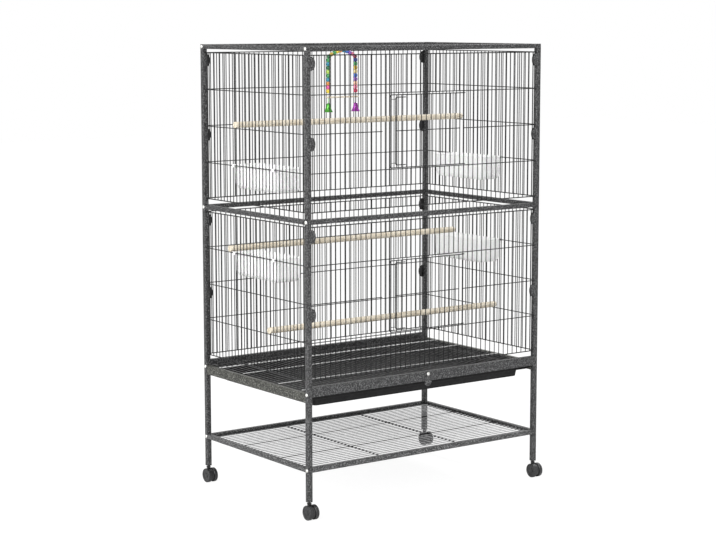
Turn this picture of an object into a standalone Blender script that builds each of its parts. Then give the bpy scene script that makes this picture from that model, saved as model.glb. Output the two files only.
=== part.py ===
"""Two tier wire bird cage on casters: tube frame, wire panels, doors, tray, feeders, perches and a swing.

X is the long side, the front faces -Y and +Z is up, in metres. The frame is drawn about its own centre
and hangs on one empty, which stands so that the four wheels are centred on the world's origin.
"""
import math

import bmesh
import bpy
from mathutils import Matrix, Vector

# Tube frame
WIDTH = 0.800
DEPTH = 0.5207
HEIGHT = 1.244
POST = 0.014
POST_BOTTOM = 0.0464
RAIL = 0.0127
APRON_HEIGHT = 0.030
TUBE_EDGE = 0.0014
MID_RAIL_BOTTOM = 0.7839
FRONT_APRON_BOTTOM = 0.3278
SIDE_APRON_DROP = 0.0148
SHELF_RAIL_BOTTOM = 0.1255

# Clearances: SEAT lies between pieces that rest on each other, RUNNING between pieces that move
SEAT = 0.0003
RUNNING = 0.0004

# Wire mats: upright wires between two end bars, with cross wires welded on at the sides
FINE_WIRE = 0.0022
STIFF_WIRE = 0.0028
BAR_WIRE = 0.0030
WELD = 0.00015
ROWS = 4
LONG_WIRES = 46
LONG_END_GAP = 0.0116
SHORT_WIRES = 30
SHORT_END_GAP = 0.0119
UPPER_PANEL_DROP = 0.0104
UPPER_PANEL_LIFT = 0.0179
LOWER_PANEL_DROP = 0.0070
LOWER_PANEL_LIFT = 0.0127
FRONT_PANEL_INSET = 0.0044

# Roof, floor grille and shelf mat: their cross wires stand at these shares of the way to the end bars.
# The shelf's wires run side to side over two bars, and two of them are stiff besides the end ones.
ROOF_DROP = 0.0064
ROOF_CROSSES = (-0.51, 0.0, 0.51)
GRILLE_CROSSES = (-0.865, -0.355, 0.355, 0.865)
SHELF_CROSSES = (-0.348, 0.348)
SHELF_WIRES = 30
SHELF_END_GAP = 0.0063
SHELF_STIFF = (9, 20)

# Front doors: the opening lies between two upright wires and two cross wires
DOOR_FIRST = 15
DOOR_LAST = 30
DOOR_TOP_GAP = 0.0057
DOOR_BOTTOM_GAP = 0.0035
DOOR_OVERHANG = 0.0062
EYE_WIRE = 0.0020
EYE_SIDES = 8
LATCH_WIRE = 0.0026
LATCH_TONGUE = 0.0016
LATCH_END_GAP = 0.0135
LATCH_LEG = 0.0340
LATCH_TIP_GAP = 0.0005

# Panel clips on the posts, at these shares of the panels' height
CLIP_HEIGHT = 0.036
CLIP_REACH = 0.0145
CLIP_THICK = 0.0068
CLIP_LIP = 0.0022
UPPER_CLIPS = (0.947, 0.437)
LOWER_CLIPS = (0.939, 0.429)

# Slide-out tray, its side guides and its swivel latch
TRAY_HEIGHT = 0.0290
TRAY_SIDE_FLANGE = 0.0265
TRAY_END_FLANGE = 0.0083
TRAY_SKIN = 0.0024
TRAY_CORNER = 0.012
TRAY_TAPER = 0.004
TRAY_SIDE_PLAY = 0.0015
TRAY_END_PLAY = 0.0114
GUIDE_WIDTH = 0.014
GUIDE_SKIN = 0.0022
GUIDE_WEB = 0.0112
LATCH_SCREW_DROP = 0.0100
SCREW_SHANK = 0.0019
SCREW_HEAD = 0.0050
SCREW_HEAD_DEPTH = 0.0022
SCREW_DEPTH = 0.0080
TAB_THICK = 0.0016
TAB_LENGTH = 0.0245
TAB_TOP_RADIUS = 0.0062
TAB_END_RADIUS = 0.0095

# Feeder cups hooked on the side panels
CUP_LENGTH = 0.210
CUP_WIDTH = 0.081
CUP_DEPTH = 0.066
CUP_SKIN = 0.0022
CUP_CORNER = 0.0035
CUP_FOOT = 0.0115
CUP_FOOT_INSET = 0.0060
CUP_TAPER = 0.0020
CUP_RIM_RISE = 0.0035
HOOK_WIDTH = 0.008
HOOK_SKIN = 0.0020
HOOK_END_GAP = 0.0078
HOOK_TAIL = 0.008

# Wooden perches: the side panel wire that each is slotted over, counted from the middle
PERCH_RADIUS = 0.0085
PERCH_END = 0.0015
PERCH_SIDES = 12

# Bead swing
BEAD_RADIUS = 0.0056
BEAD_NECK = 0.0030
BEAD_PITCH = 0.0118
SWING_HALF = 0.0483
SWING_ARCH = 0.0300
SWING_CROWN = 0.0090
SWING_COLUMN = 0.0920
SWING_WIRE = 16.5
BAR_RADIUS = 0.0024
BAR_OVERHANG = 0.0060
BELL_RADIUS = 0.0128
BELL_HEIGHT = 0.0240
BELL_SKIN = 0.0013
BELL_DROP = 0.0140
BELL_SIDES = 10
RING_RADIUS = 0.0031
RING_WIRE = 0.0016

# Twin wheel casters
WHEEL_RADIUS = 0.0200
WHEEL_WIDTH = 0.0105
WHEEL_EDGE = 0.0018
TWIN_WIDTH = 0.0290
TRAIL = 0.0080
AXLE_RADIUS = 0.0030
HUB_RADIUS = 0.0170
HUB_THICK = 0.0060
COLLAR_RADIUS = 0.0052
WHEEL_SIDES = 16

POST_X = (WIDTH - POST) / 2
POST_Y = (DEPTH - POST) / 2
BAY_X = WIDTH / 2 - POST
BAY_Y = DEPTH / 2 - POST
TOP_RAIL_BOTTOM = HEIGHT - RAIL
FRONT_Y = DEPTH / 2 - FRONT_PANEL_INSET
LONG_PITCH = 2 * (BAY_X - LONG_END_GAP) / (LONG_WIRES - 1)
SHORT_PITCH = 2 * (BAY_Y - SHORT_END_GAP) / (SHORT_WIRES - 1)
SHELF_PITCH = 2 * (POST_Y - RAIL / 2 - SHELF_END_GAP) / (SHELF_WIRES - 1)
CROSS_LAYER = (STIFF_WIRE + FINE_WIRE) / 2 - WELD
UPPER_PANEL = (MID_RAIL_BOTTOM + RAIL + UPPER_PANEL_LIFT, TOP_RAIL_BOTTOM - UPPER_PANEL_DROP)
LOWER_PANEL = (FRONT_APRON_BOTTOM + APRON_HEIGHT + LOWER_PANEL_LIFT, MID_RAIL_BOTTOM - LOWER_PANEL_DROP)
ROOF_HEIGHT = HEIGHT - ROOF_DROP
SIDE_APRON_BOTTOM = FRONT_APRON_BOTTOM - SIDE_APRON_DROP
TRAY_TOP = FRONT_APRON_BOTTOM - 2 * SEAT
LEDGE_HEIGHT = TRAY_TOP - TRAY_SKIN - SEAT
GRILLE_HEIGHT = LEDGE_HEIGHT + GUIDE_WEB + SEAT + BAR_WIRE / 2


def clear_scene():
    for item in list(bpy.data.objects):
        bpy.data.objects.remove(item, do_unlink=True)


def paint(name, colour, roughness, metallic=0.0):
    """One Principled material for one piece."""
    material = bpy.data.materials.new(name)
    material.use_nodes = True
    shader = material.node_tree.nodes["Principled BSDF"]
    shader.inputs["Base Color"].default_value = (*colour, 1.0)
    shader.inputs["Roughness"].default_value = roughness
    shader.inputs["Metallic"].default_value = metallic
    return material


CHARCOAL = ((0.085, 0.087, 0.090), 0.55, 0.35)
WIRE_GREY = ((0.060, 0.062, 0.065), 0.50, 0.40)
BLACK_PLASTIC = ((0.018, 0.018, 0.019), 0.45, 0.0)
WHITE_PLASTIC = ((0.83, 0.86, 0.84), 0.30, 0.0)
PINE = ((0.72, 0.58, 0.40), 0.60, 0.0)
ZINC = ((0.70, 0.70, 0.68), 0.30, 0.9)
BEAD_RED = ((0.55, 0.08, 0.20), 0.35, 0.0)
BELL_GREEN = ((0.10, 0.45, 0.08), 0.30, 0.5)
BELL_PURPLE = ((0.45, 0.05, 0.50), 0.30, 0.5)


def piece(name, mesh, finish, parent, location=(0, 0, 0), rotation=(0, 0, 0), smooth=0):
    """A named object for one sub-part, on the object that carries it, smooth under an angle in degrees."""
    item = bpy.data.objects.new(name, mesh)
    bpy.context.scene.collection.objects.link(item)
    mesh.materials.clear()
    mesh.materials.append(paint(name, *finish))
    if smooth:
        mesh.shade_smooth()
        mesh.set_sharp_from_angle(angle=math.radians(smooth))
    item.parent = parent
    item.location = location
    item.rotation_euler = rotation
    return item


def mesh_of(points, faces, name="form"):
    mesh = bpy.data.meshes.new(name)
    mesh.from_pydata([tuple(p) for p in points], [], faces)
    mesh.update()
    return mesh


def blocks(corners):
    """One mesh of separate boxes, each given by its low and high corner."""
    points = []
    faces = []
    for low, high in corners:
        start = len(points)
        for index in range(8):
            points.append([(low, high)[(index >> axis) & 1][axis] for axis in range(3)])
        for quad in ((0, 4, 6, 2), (1, 3, 7, 5), (0, 1, 5, 4), (2, 6, 7, 3), (0, 2, 3, 1), (4, 5, 7, 6)):
            faces.append([start + corner for corner in quad])
    return mesh_of(points, faces)


def prism(outline, low, high, plane="XZ"):
    """A flat outline pushed from low to high, square to its plane."""
    count = len(outline)
    points = []
    for level in (low, high):
        for a, b in outline:
            points.append({"XY": (a, b, level), "XZ": (a, level, b), "YZ": (level, a, b)}[plane])
    faces = [list(range(count)), list(range(2 * count - 1, count - 1, -1))]
    for index in range(count):
        following = (index + 1) % count
        faces.append([index, index + count, following + count, following])
    return outward(mesh_of(points, faces))


def outward(mesh):
    """Turns every face of a closed mesh outwards."""
    work = bmesh.new()
    work.from_mesh(mesh)
    bmesh.ops.recalc_face_normals(work, faces=work.faces)
    if work.calc_volume(signed=True) < 0:
        bmesh.ops.reverse_faces(work, faces=work.faces)
    work.to_mesh(mesh)
    work.free()
    return mesh


def lofted(rings, closed_ends=True):
    """A skin through rings that have the same number of points, with flat ends."""
    count = len(rings[0])
    points = [point for ring in rings for point in ring]
    faces = []
    for level in range(len(rings) - 1):
        for index in range(count):
            following = (index + 1) % count
            faces.append([level * count + index, level * count + following,
                          (level + 1) * count + following, (level + 1) * count + index])
    if closed_ends:
        faces.append(list(range(count)))
        faces.append([(len(rings) - 1) * count + index for index in range(count)])
    return outward(mesh_of(points, faces))


def turned(profile, sides, axis="Z"):
    """A profile of (radius, height) points turned about an axis; both ends are flat discs."""
    rings = []
    for radius, height in profile:
        ring = []
        for index in range(sides):
            angle = 2 * math.pi * index / sides
            a = radius * math.cos(angle)
            b = radius * math.sin(angle)
            ring.append({"Z": (a, b, height), "X": (height, a, b)}[axis])
        rings.append(ring)
    return lofted(rings)


def moved(mesh, offset):
    mesh.transform(Matrix.Translation(Vector(offset)))
    return mesh


def solved(base, tool, operation):
    """The mesh that joins base and tool, or cuts tool out of base."""
    first = bpy.data.objects.new("base", base)
    second = bpy.data.objects.new("tool", tool)
    for item in (first, second):
        bpy.context.scene.collection.objects.link(item)
    step = first.modifiers.new("solve", "BOOLEAN")
    step.object = second
    step.operation = operation
    step.solver = "EXACT"
    graph = bpy.context.evaluated_depsgraph_get()
    result = bpy.data.meshes.new_from_object(first.evaluated_get(graph))
    for item in (first, second):
        bpy.data.objects.remove(item, do_unlink=True)
    return result


def joined(base, *tools):
    for tool in tools:
        base = solved(base, tool, "UNION")
    return base


def cut(base, *tools):
    for tool in tools:
        base = solved(base, tool, "DIFFERENCE")
    return base


def tube(length, height, thickness):
    """A straight tube along X about its own centre, with its long edges eased."""
    half_y = thickness / 2
    half_z = height / 2
    outline = []
    for sign_y, sign_z in ((-1, -1), (1, -1), (1, 1), (-1, 1)):
        first = (sign_y * (half_y - TUBE_EDGE), sign_z * half_z)
        second = (sign_y * half_y, sign_z * (half_z - TUBE_EDGE))
        outline.extend([second, first] if sign_y * sign_z > 0 else [first, second])
    return prism(outline, -length / 2, length / 2, plane="YZ")


def wires(uprights):
    """Upright wires of a mat, each (u, low, high, size): the fine ones have three sides, the others four."""
    points = []
    faces = []
    for u, low, high, size in uprights:
        half = size / 2
        section = [(-half, -half), (half, -half), (half, half), (-half, half)]
        if size <= FINE_WIRE:
            section = [(-half, -half), (half, -half), (0, half)]
        start = len(points)
        count = len(section)
        for level in (low, high):
            points.extend((u + a, b, level) for a, b in section)
        faces.append([start + index for index in reversed(range(count))])
        faces.append([start + count + index for index in range(count)])
        for index in range(count):
            following = (index + 1) % count
            faces.append([start + index, start + following,
                          start + count + following, start + count + index])
    return mesh_of(points, faces)


def cross(first, last, v, size, layer=0.0):
    """A cross wire of a mat at height v, from first to last, layer in front of the uprights."""
    return ((first, -layer - size / 2, v - size / 2), (last, -layer + size / 2, v + size / 2))


def wire_places(count, pitch):
    return [(index - (count - 1) / 2) * pitch for index in range(count)]


def wire_mat(count, pitch, rows, half_bay, opening=None, thick=(), size=FINE_WIRE):
    """A welded mat in the XZ plane. rows holds the heights of its bars and cross wires, low to high.

    The uprights butt into the two end bars. The cross wires, of the given size, lie in front of them and
    are welded to the stiff wires: those at the mat's sides, the thick ones, and the two that an opening
    lies between.
    """
    places = wire_places(count, pitch)
    half = half_bay - SEAT
    layer = (STIFF_WIRE + size) / 2 - WELD
    stiff = {0, count - 1, *thick, *(opening or ())}
    low, high = rows[0], rows[-1]
    uprights = []
    for index, u in enumerate(places):
        if opening and opening[0] < index < opening[1]:
            uprights.append((u, low, rows[1] + FINE_WIRE / 2, FINE_WIRE))
            uprights.append((u, rows[-2] - FINE_WIRE / 2, high, FINE_WIRE))
        else:
            uprights.append((u, low, high, STIFF_WIRE if index in stiff else FINE_WIRE))
    crosses = []
    for v in rows[1:-1]:
        if opening and v != rows[1] and v != rows[-2]:
            stop = places[opening[0] - 2] + FINE_WIRE
            crosses.append(cross(-half, stop, v, size, layer))
            crosses.append(cross(places[opening[1]] - STIFF_WIRE, half, v, size, layer))
        else:
            crosses.append(cross(-half, half, v, size, layer))
    bars = blocks([cross(-half, half, low, BAR_WIRE), cross(-half, half, high, BAR_WIRE)])
    return joined(bars, wires(uprights), blocks(crosses))


def panel_rows(span):
    """The heights of a wall panel's two bars and of its cross wires, evenly spread over its span."""
    low, high = span
    return [low + index * (high - low) / ROWS for index in range(ROWS + 1)]


def add_frame(cage):
    """Four posts with their panel clips, and four rings of tube between them."""
    for side_x, name_x in ((-1, "left"), (1, "right")):
        for side_y, name_y in ((-1, "front"), (1, "back")):
            bar = tube(HEIGHT - POST_BOTTOM, POST, POST)
            bar.transform(Matrix.Rotation(math.pi / 2, 4, "Y"))
            moved(bar, (side_x * POST_X, side_y * POST_Y, (HEIGHT + POST_BOTTOM) / 2))
            post = joined(bar, *[panel_clip(side_x, side_y, middle) for middle in clip_heights()])
            piece(f"post_{name_y}_{name_x}", post, CHARCOAL, cage)
    levels = (("top_rail", TOP_RAIL_BOTTOM, TOP_RAIL_BOTTOM, RAIL),
              ("middle_rail", MID_RAIL_BOTTOM, MID_RAIL_BOTTOM, RAIL),
              ("base_apron", FRONT_APRON_BOTTOM, SIDE_APRON_BOTTOM, APRON_HEIGHT),
              ("shelf_rail", SHELF_RAIL_BOTTOM, SHELF_RAIL_BOTTOM, RAIL))
    for name, long_bottom, short_bottom, height in levels:
        for side, place in ((-1, "front"), (1, "back")):
            mesh = tube(2 * (BAY_X - SEAT), height, RAIL)
            spot = (0, side * POST_Y, long_bottom + height / 2)
            if name == "base_apron" and place == "front":
                mesh = cut(mesh, latch_screw_hole(spot))
            piece(f"{name}_{place}", mesh, CHARCOAL, cage, spot)
        for side, place in ((-1, "left"), (1, "right")):
            mesh = tube(2 * (BAY_Y - SEAT), height, RAIL)
            spot = (side * POST_X, 0, short_bottom + height / 2)
            piece(f"{name}_{place}", mesh, CHARCOAL, cage, spot, (0, 0, math.pi / 2))


def clip_heights():
    """The middle heights of the four clips on a post, two to each tier of panels."""
    heights = []
    for (low, high), shares in ((UPPER_PANEL, UPPER_CLIPS), (LOWER_PANEL, LOWER_CLIPS)):
        heights.extend(low + share * (high - low) for share in shares)
    return heights


def panel_clip(side_x, side_y, middle):
    """A half oval plastic clip on a post's inner face, hooked over the panel's end wire."""
    face = side_x * BAY_X
    steps = 6
    outline = []
    for index in range(1, steps):
        angle = math.pi * index / steps
        outline.append((face - side_x * CLIP_REACH * math.sin(angle),
                        middle + CLIP_HEIGHT / 2 * math.cos(angle)))
    outline.append((face + side_x * POST / 4, middle - CLIP_HEIGHT / 2))
    outline.append((face + side_x * POST / 4, middle + CLIP_HEIGHT / 2))
    outer = FRONT_Y + STIFF_WIRE / 2 + SEAT + CLIP_LIP
    inner = outer - CLIP_THICK
    low, high = sorted((side_y * inner, side_y * outer))
    body = prism(outline, low, high)
    groove_half = STIFF_WIRE / 2 + SEAT
    end_wire = side_x * (LONG_WIRES - 1) / 2 * LONG_PITCH
    sides = sorted((side_y * (inner - CLIP_THICK), side_y * (FRONT_Y + groove_half)))
    slot = blocks([((end_wire - groove_half, sides[0], middle - CLIP_HEIGHT),
                    (end_wire + groove_half, sides[1], middle + CLIP_HEIGHT))])
    return cut(body, slot)


def add_panels(cage):
    """Eight wall panels, two to a side."""
    door = (DOOR_FIRST, DOOR_LAST)
    walls = (("front", (0, -FRONT_Y), 0.0, LONG_WIRES, LONG_PITCH, BAY_X, door),
             ("back", (0, FRONT_Y), math.pi, LONG_WIRES, LONG_PITCH, BAY_X, None),
             ("left", (-POST_X, 0), -math.pi / 2, SHORT_WIRES, SHORT_PITCH, BAY_Y, None),
             ("right", (POST_X, 0), math.pi / 2, SHORT_WIRES, SHORT_PITCH, BAY_Y, None))
    for tier, span in (("upper", UPPER_PANEL), ("lower", LOWER_PANEL)):
        for side, (x, y), turn, count, pitch, half_bay, opening in walls:
            mesh = wire_mat(count, pitch, panel_rows(span), half_bay, opening)
            piece(f"panel_{side}_{tier}", mesh, WIRE_GREY, cage, (x, y, 0), (0, 0, turn))


def add_mats(cage):
    """The roof and the floor grille, with wires front to back, and the shelf mat, with wires side to side."""
    end_bar = POST_Y - RAIL / 2 - SEAT - BAR_WIRE / 2
    for name, height, shares, turn in (("roof_panel", ROOF_HEIGHT, ROOF_CROSSES, math.pi / 2),
                                       ("floor_grille", GRILLE_HEIGHT, GRILLE_CROSSES, -math.pi / 2)):
        rows = [share * end_bar for share in (-1, *shares, 1)]
        mesh = wire_mat(LONG_WIRES, LONG_PITCH, rows, POST_X - RAIL / 2)
        piece(name, mesh, WIRE_GREY, cage, (0, 0, height), (turn, 0, 0))
    side_bar = POST_X - RAIL / 2 - SEAT - BAR_WIRE / 2
    rows = [share * side_bar for share in (-1, *SHELF_CROSSES, 1)]
    mesh = wire_mat(SHELF_WIRES, SHELF_PITCH, rows, POST_Y - RAIL / 2, thick=SHELF_STIFF, size=BAR_WIRE)
    piece("shelf_mat", mesh, WIRE_GREY, cage, (0, 0, SHELF_RAIL_BOTTOM + RAIL / 2),
          (math.pi / 2, 0, math.pi / 2))


def eye_bore():
    """The corner radius of a door eye's many-sided bore, clear of the square wire that turns in it."""
    return (STIFF_WIRE / 2 * math.sqrt(2) + RUNNING) / math.cos(math.pi / EYE_SIDES)


def door_eye(height):
    """The end of a door wire, curled into an eye around the panel's upright."""
    inner = eye_bore()
    outer = inner + EYE_WIRE
    rings = []
    for radius, z in ((inner, -1), (outer, -1), (outer, 1), (inner, 1)):
        ring = []
        for index in range(EYE_SIDES):
            angle = 2 * math.pi * index / EYE_SIDES
            ring.append((radius * math.cos(angle), radius * math.sin(angle), height + z * LATCH_WIRE / 2))
        rings.append(ring)
    count = EYE_SIDES
    points = [point for ring in rings for point in ring]
    faces = []
    for level in range(4):
        for index in range(count):
            following = (index + 1) % count
            upper = (level + 1) % 4
            faces.append([level * count + index, level * count + following,
                          upper * count + following, upper * count + index])
    return outward(mesh_of(points, faces))


def add_doors(cage):
    """One side hung door in each front panel, with a sliding wire latch at its free side."""
    places = wire_places(LONG_WIRES, LONG_PITCH)
    hinge_u = places[DOOR_LAST]
    layer = STIFF_WIRE / 2 + SEAT + STIFF_WIRE / 2
    for tier, span in (("upper", UPPER_PANEL), ("lower", LOWER_PANEL)):
        rows = panel_rows(span)
        low = rows[1] + DOOR_BOTTOM_GAP
        high = rows[-2] - DOOR_TOP_GAP
        middle = rows[2]
        free_side = places[DOOR_FIRST] - DOOR_OVERHANG
        frame = [cross(free_side - STIFF_WIRE / 2, hinge_u - eye_bore(), v, LATCH_WIRE, layer)
                 for v in (low, high)]
        uprights = [(free_side, low, high, FINE_WIRE)]
        for index in range(DOOR_FIRST + 1, DOOR_LAST):
            thick = STIFF_WIRE if index in (DOOR_FIRST + 1, DOOR_LAST - 1) else FINE_WIRE
            uprights.append((places[index], low, high, thick))
        upright_mesh = moved(wires(uprights), (0, -layer, 0))
        rail_layer = layer - (STIFF_WIRE + FINE_WIRE) / 2 + WELD
        rail = blocks([cross(places[DOOR_FIRST + 1] - STIFF_WIRE, places[DOOR_LAST - 1] + STIFF_WIRE,
                             middle, FINE_WIRE, rail_layer)])
        eyes = [moved(door_eye(v), (hinge_u, 0, 0)) for v in (low, high)]
        mesh = joined(blocks(frame), upright_mesh, rail, *eyes)
        moved(mesh, (-hinge_u, 0, -middle))
        door = piece(f"door_{tier}", mesh, WIRE_GREY, cage, (hinge_u, -FRONT_Y, middle))
        add_latch(door, tier, places, hinge_u, low - middle, high - middle, rail_layer)


def add_latch(door, tier, places, hinge_u, low, high, rail_layer):
    """A bent wire that slides behind the door; its two tongues hold behind the opening's end wire."""
    depth = -rail_layer + FINE_WIRE / 2 + SEAT + LATCH_WIRE / 2
    u = places[DOOR_FIRST + 1] - hinge_u
    tip = places[DOOR_FIRST] + STIFF_WIRE / 2 + LATCH_TIP_GAP - hinge_u
    bottom = low + LATCH_END_GAP / 2
    top = high - LATCH_END_GAP / 2
    half = LATCH_WIRE / 2
    bar = blocks([((u - half, depth - half, bottom), (u + half, depth + half, top))])
    legs = []
    tongues = []
    for v, inward in ((bottom, 1), (top, -1)):
        legs.append(((u, depth - half * 0.98, v - half), (u + LATCH_LEG, depth + half * 0.98, v + half)))
        w = v + inward * 2 * LATCH_WIRE
        tongues.append(((tip, depth + half * 0.96 - LATCH_TONGUE, w - LATCH_TONGUE / 2),
                        (u, depth + half * 0.96, w + LATCH_TONGUE / 2)))
    mesh = joined(bar, blocks(legs), blocks(tongues))
    piece(f"door_latch_{tier}", mesh, WIRE_GREY, door)


def corner_outline(half_x, half_y, corner):
    """A rectangle with its four corners cut at 45 degrees."""
    return [(half_x, -half_y + corner), (half_x, half_y - corner), (half_x - corner, half_y),
            (-half_x + corner, half_y), (-half_x, half_y - corner), (-half_x, -half_y + corner),
            (-half_x + corner, -half_y), (half_x - corner, -half_y)]


def tub(levels):
    """A tub through (half_x, half_y, corner, height) levels: up the outside and down the inside."""
    rings = []
    for half_x, half_y, corner, height in levels:
        rings.append([(x, y, height) for x, y in corner_outline(half_x, half_y, corner)])
    return lofted(rings)


def add_tray(cage):
    """The droppings tray, hung by its flange on two angle guides and held by a swivel tab."""
    flange_x = BAY_X - TRAY_SIDE_PLAY
    flange_y = BAY_Y - TRAY_END_PLAY
    half_x = flange_x - TRAY_SIDE_FLANGE
    half_y = flange_y - TRAY_END_FLANGE
    top = TRAY_HEIGHT
    under = top - TRAY_SKIN
    mesh = tub([(half_x - TRAY_TAPER, half_y - TRAY_TAPER, TRAY_CORNER, 0),
                (half_x, half_y, TRAY_CORNER, under),
                (flange_x, flange_y, TRAY_CORNER, under),
                (flange_x, flange_y, TRAY_CORNER, top),
                (half_x - TRAY_SKIN, half_y - TRAY_SKIN, TRAY_CORNER - TRAY_SKIN / 2, top),
                (half_x - TRAY_TAPER - TRAY_SKIN, half_y - TRAY_TAPER - TRAY_SKIN,
                 TRAY_CORNER - TRAY_SKIN / 2, TRAY_SKIN)])
    piece("tray", mesh, BLACK_PLASTIC, cage, (0, 0, TRAY_TOP - TRAY_HEIGHT))
    ledge = LEDGE_HEIGHT
    apron_face = POST_X - RAIL / 2 - SEAT
    for side, name in ((-1, "left"), (1, "right")):
        web_top = ledge + GUIDE_WEB
        web_in = apron_face - min(GUIDE_SKIN, apron_face - flange_x - SEAT)
        inside = apron_face - GUIDE_WIDTH
        outline = [(inside, ledge - GUIDE_SKIN), (apron_face, ledge - GUIDE_SKIN), (apron_face, web_top),
                   (web_in, web_top), (web_in, ledge), (inside, ledge)]
        angle = prism([(side * x, z) for x, z in outline], -(BAY_Y - SEAT), BAY_Y - SEAT)
        piece(f"tray_guide_{name}", angle, BLACK_PLASTIC, cage)
    add_tray_latch(cage)


def screw_height():
    return FRONT_APRON_BOTTOM + APRON_HEIGHT - LATCH_SCREW_DROP


def round_bar(radius, low, high, sides=12):
    """A round bar along Y from low to high."""
    outline = []
    for index in range(sides):
        angle = 2 * math.pi * (index + 0.5) / sides
        outline.append((radius * math.cos(angle), radius * math.sin(angle)))
    return prism(outline, low, high)


def latch_screw_hole(apron_spot):
    """The cutter for the blind hole that takes the latch screw, in the front apron's own frame."""
    face = -RAIL / 2
    hole = round_bar(SCREW_SHANK + SEAT, face - SCREW_DEPTH, face + SCREW_DEPTH + SEAT)
    return moved(hole, (0, 0, screw_height() - apron_spot[2]))


def add_tray_latch(cage):
    """A teardrop tab that turns on one screw and hangs in front of the tray."""
    face = -POST_Y - RAIL / 2
    back = -SEAT
    front = back - TAB_THICK
    outline = []
    steps = 8
    for index in range(steps + 1):
        angle = math.pi * index / steps
        outline.append((TAB_TOP_RADIUS * math.cos(angle), TAB_TOP_RADIUS * math.sin(angle)))
    for index in range(steps + 1):
        angle = math.pi + math.pi * index / steps
        outline.append((TAB_END_RADIUS * math.cos(angle), -TAB_LENGTH + TAB_END_RADIUS * math.sin(angle)))
    tab = cut(prism(outline, front, back), round_bar(SCREW_SHANK + RUNNING, 2 * front, -2 * front))
    piece("tray_latch", tab, ZINC, cage, (0, face, screw_height()))
    shank = round_bar(SCREW_SHANK, front - RUNNING - SCREW_HEAD_DEPTH / 2, SCREW_DEPTH)
    head = round_bar(SCREW_HEAD, front - RUNNING - SCREW_HEAD_DEPTH, front - RUNNING)
    screw = joined(head, shank)
    piece("tray_latch_screw", screw, ZINC, cage, (0, face, screw_height()), smooth=40)


def add_cups(cage):
    """Four feeder cups inside the side panels, each hooked over a cross wire."""
    for tier, span, place in (("upper", UPPER_PANEL, 1), ("lower", LOWER_PANEL, 3)):
        row = panel_rows(span)[place]
        for side, name in ((-1, "left"), (1, "right")):
            wall = POST_X - FINE_WIRE / 2 - SEAT
            cup = feeder_cup()
            if side < 0:
                cup.transform(Matrix.Rotation(math.pi, 4, "Z"))
            piece(f"feeder_cup_{name}_{tier}", cup, WHITE_PLASTIC, cage, (side * wall, 0, row))


def feeder_cup():
    """A cup whose back is at x = 0, with the wire that it hangs on at height 0, beyond the back."""
    rim = CUP_RIM_RISE
    base = rim - CUP_DEPTH
    half_x = CUP_WIDTH / 2
    half_y = CUP_LENGTH / 2
    foot_x = half_x - CUP_TAPER
    foot_y = half_y - CUP_TAPER
    inner_corner = CUP_CORNER - CUP_SKIN / 2
    shell = tub([(foot_x - CUP_FOOT_INSET, foot_y - CUP_FOOT_INSET, CUP_CORNER, base),
                 (foot_x, foot_y, CUP_CORNER, base + CUP_FOOT),
                 (half_x, half_y, CUP_CORNER, rim),
                 (half_x - CUP_SKIN, half_y - CUP_SKIN, inner_corner, rim),
                 (foot_x - CUP_SKIN, foot_y - CUP_SKIN, inner_corner, base + CUP_FOOT + CUP_SKIN / 2),
                 (foot_x - CUP_FOOT_INSET - CUP_SKIN / 2, foot_y - CUP_FOOT_INSET - CUP_SKIN / 2,
                  inner_corner, base + CUP_SKIN)])
    moved(shell, (-half_x, 0, 0))
    wire_in = FINE_WIRE / 2 + SEAT + CROSS_LAYER - FINE_WIRE / 2
    wire_out = wire_in + FINE_WIRE
    over = FINE_WIRE / 2 + SEAT
    tail = wire_out + SEAT
    outline = [(-CUP_SKIN * 0.6, over - HOOK_SKIN), (-CUP_SKIN * 0.6, over + HOOK_SKIN),
               (tail + HOOK_SKIN, over + HOOK_SKIN), (tail + HOOK_SKIN, over + HOOK_SKIN - HOOK_TAIL),
               (tail, over + HOOK_SKIN - HOOK_TAIL), (tail, over), (wire_in - SEAT * 2, over),
               (wire_in - SEAT * 2, over - HOOK_SKIN)]
    hooks = [moved(prism(outline, -HOOK_WIDTH / 2, HOOK_WIDTH / 2), (0, place * hook_place(), 0))
             for place in (-1, 1)]
    return joined(shell, *hooks)


def hook_place():
    """The hooks stand between upright wires, as far out as the gap to the cup's ends lets them."""
    gaps = int((CUP_LENGTH / 2 - HOOK_END_GAP) / SHORT_PITCH)
    return gaps * SHORT_PITCH


def add_perches(cage):
    """Three dowels on the side panels' cross wires, their slotted ends over an upright."""
    end = POST_X + CROSS_LAYER + FINE_WIRE / 2 + PERCH_END
    slot_half = FINE_WIRE / 2 + SEAT
    slot_in = POST_X - slot_half
    upper = panel_rows(UPPER_PANEL)
    lower = panel_rows(LOWER_PANEL)
    for name, row, count in (("perch_high", upper[2], 5.5), ("perch_middle", lower[3], 7.5),
                             ("perch_low", lower[1], -4.5)):
        dowel = turned([(PERCH_RADIUS, -end), (PERCH_RADIUS, end)], PERCH_SIDES, axis="X")
        slots = []
        for low, high in ((-end - POST, -slot_in), (slot_in, end + POST)):
            slots.append(((low, -slot_half, -POST), (high, slot_half, POST)))
        dowel = cut(dowel, blocks(slots))
        height = row + FINE_WIRE / 2 + SEAT + PERCH_RADIUS
        piece(name, dowel, PINE, cage, (0, count * SHORT_PITCH, height), smooth=40)


def swing_path(steps):
    """The bead string's points in the XZ plane, from the bar up one side, over and down."""
    points = [Vector((-SWING_HALF, 0, index * BEAD_PITCH / 2)) for index in range(steps)]
    arch = []
    turns = 12
    start = (steps - 1) * BEAD_PITCH / 2
    for index in range(1, turns):
        angle = math.pi * (1 - index / turns)
        arch.append(Vector((SWING_HALF * math.cos(angle), 0, start + SWING_ARCH * math.sin(angle))))
    back = [Vector((SWING_HALF, 0, point.z)) for point in reversed(points)]
    return points + arch + back


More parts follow.
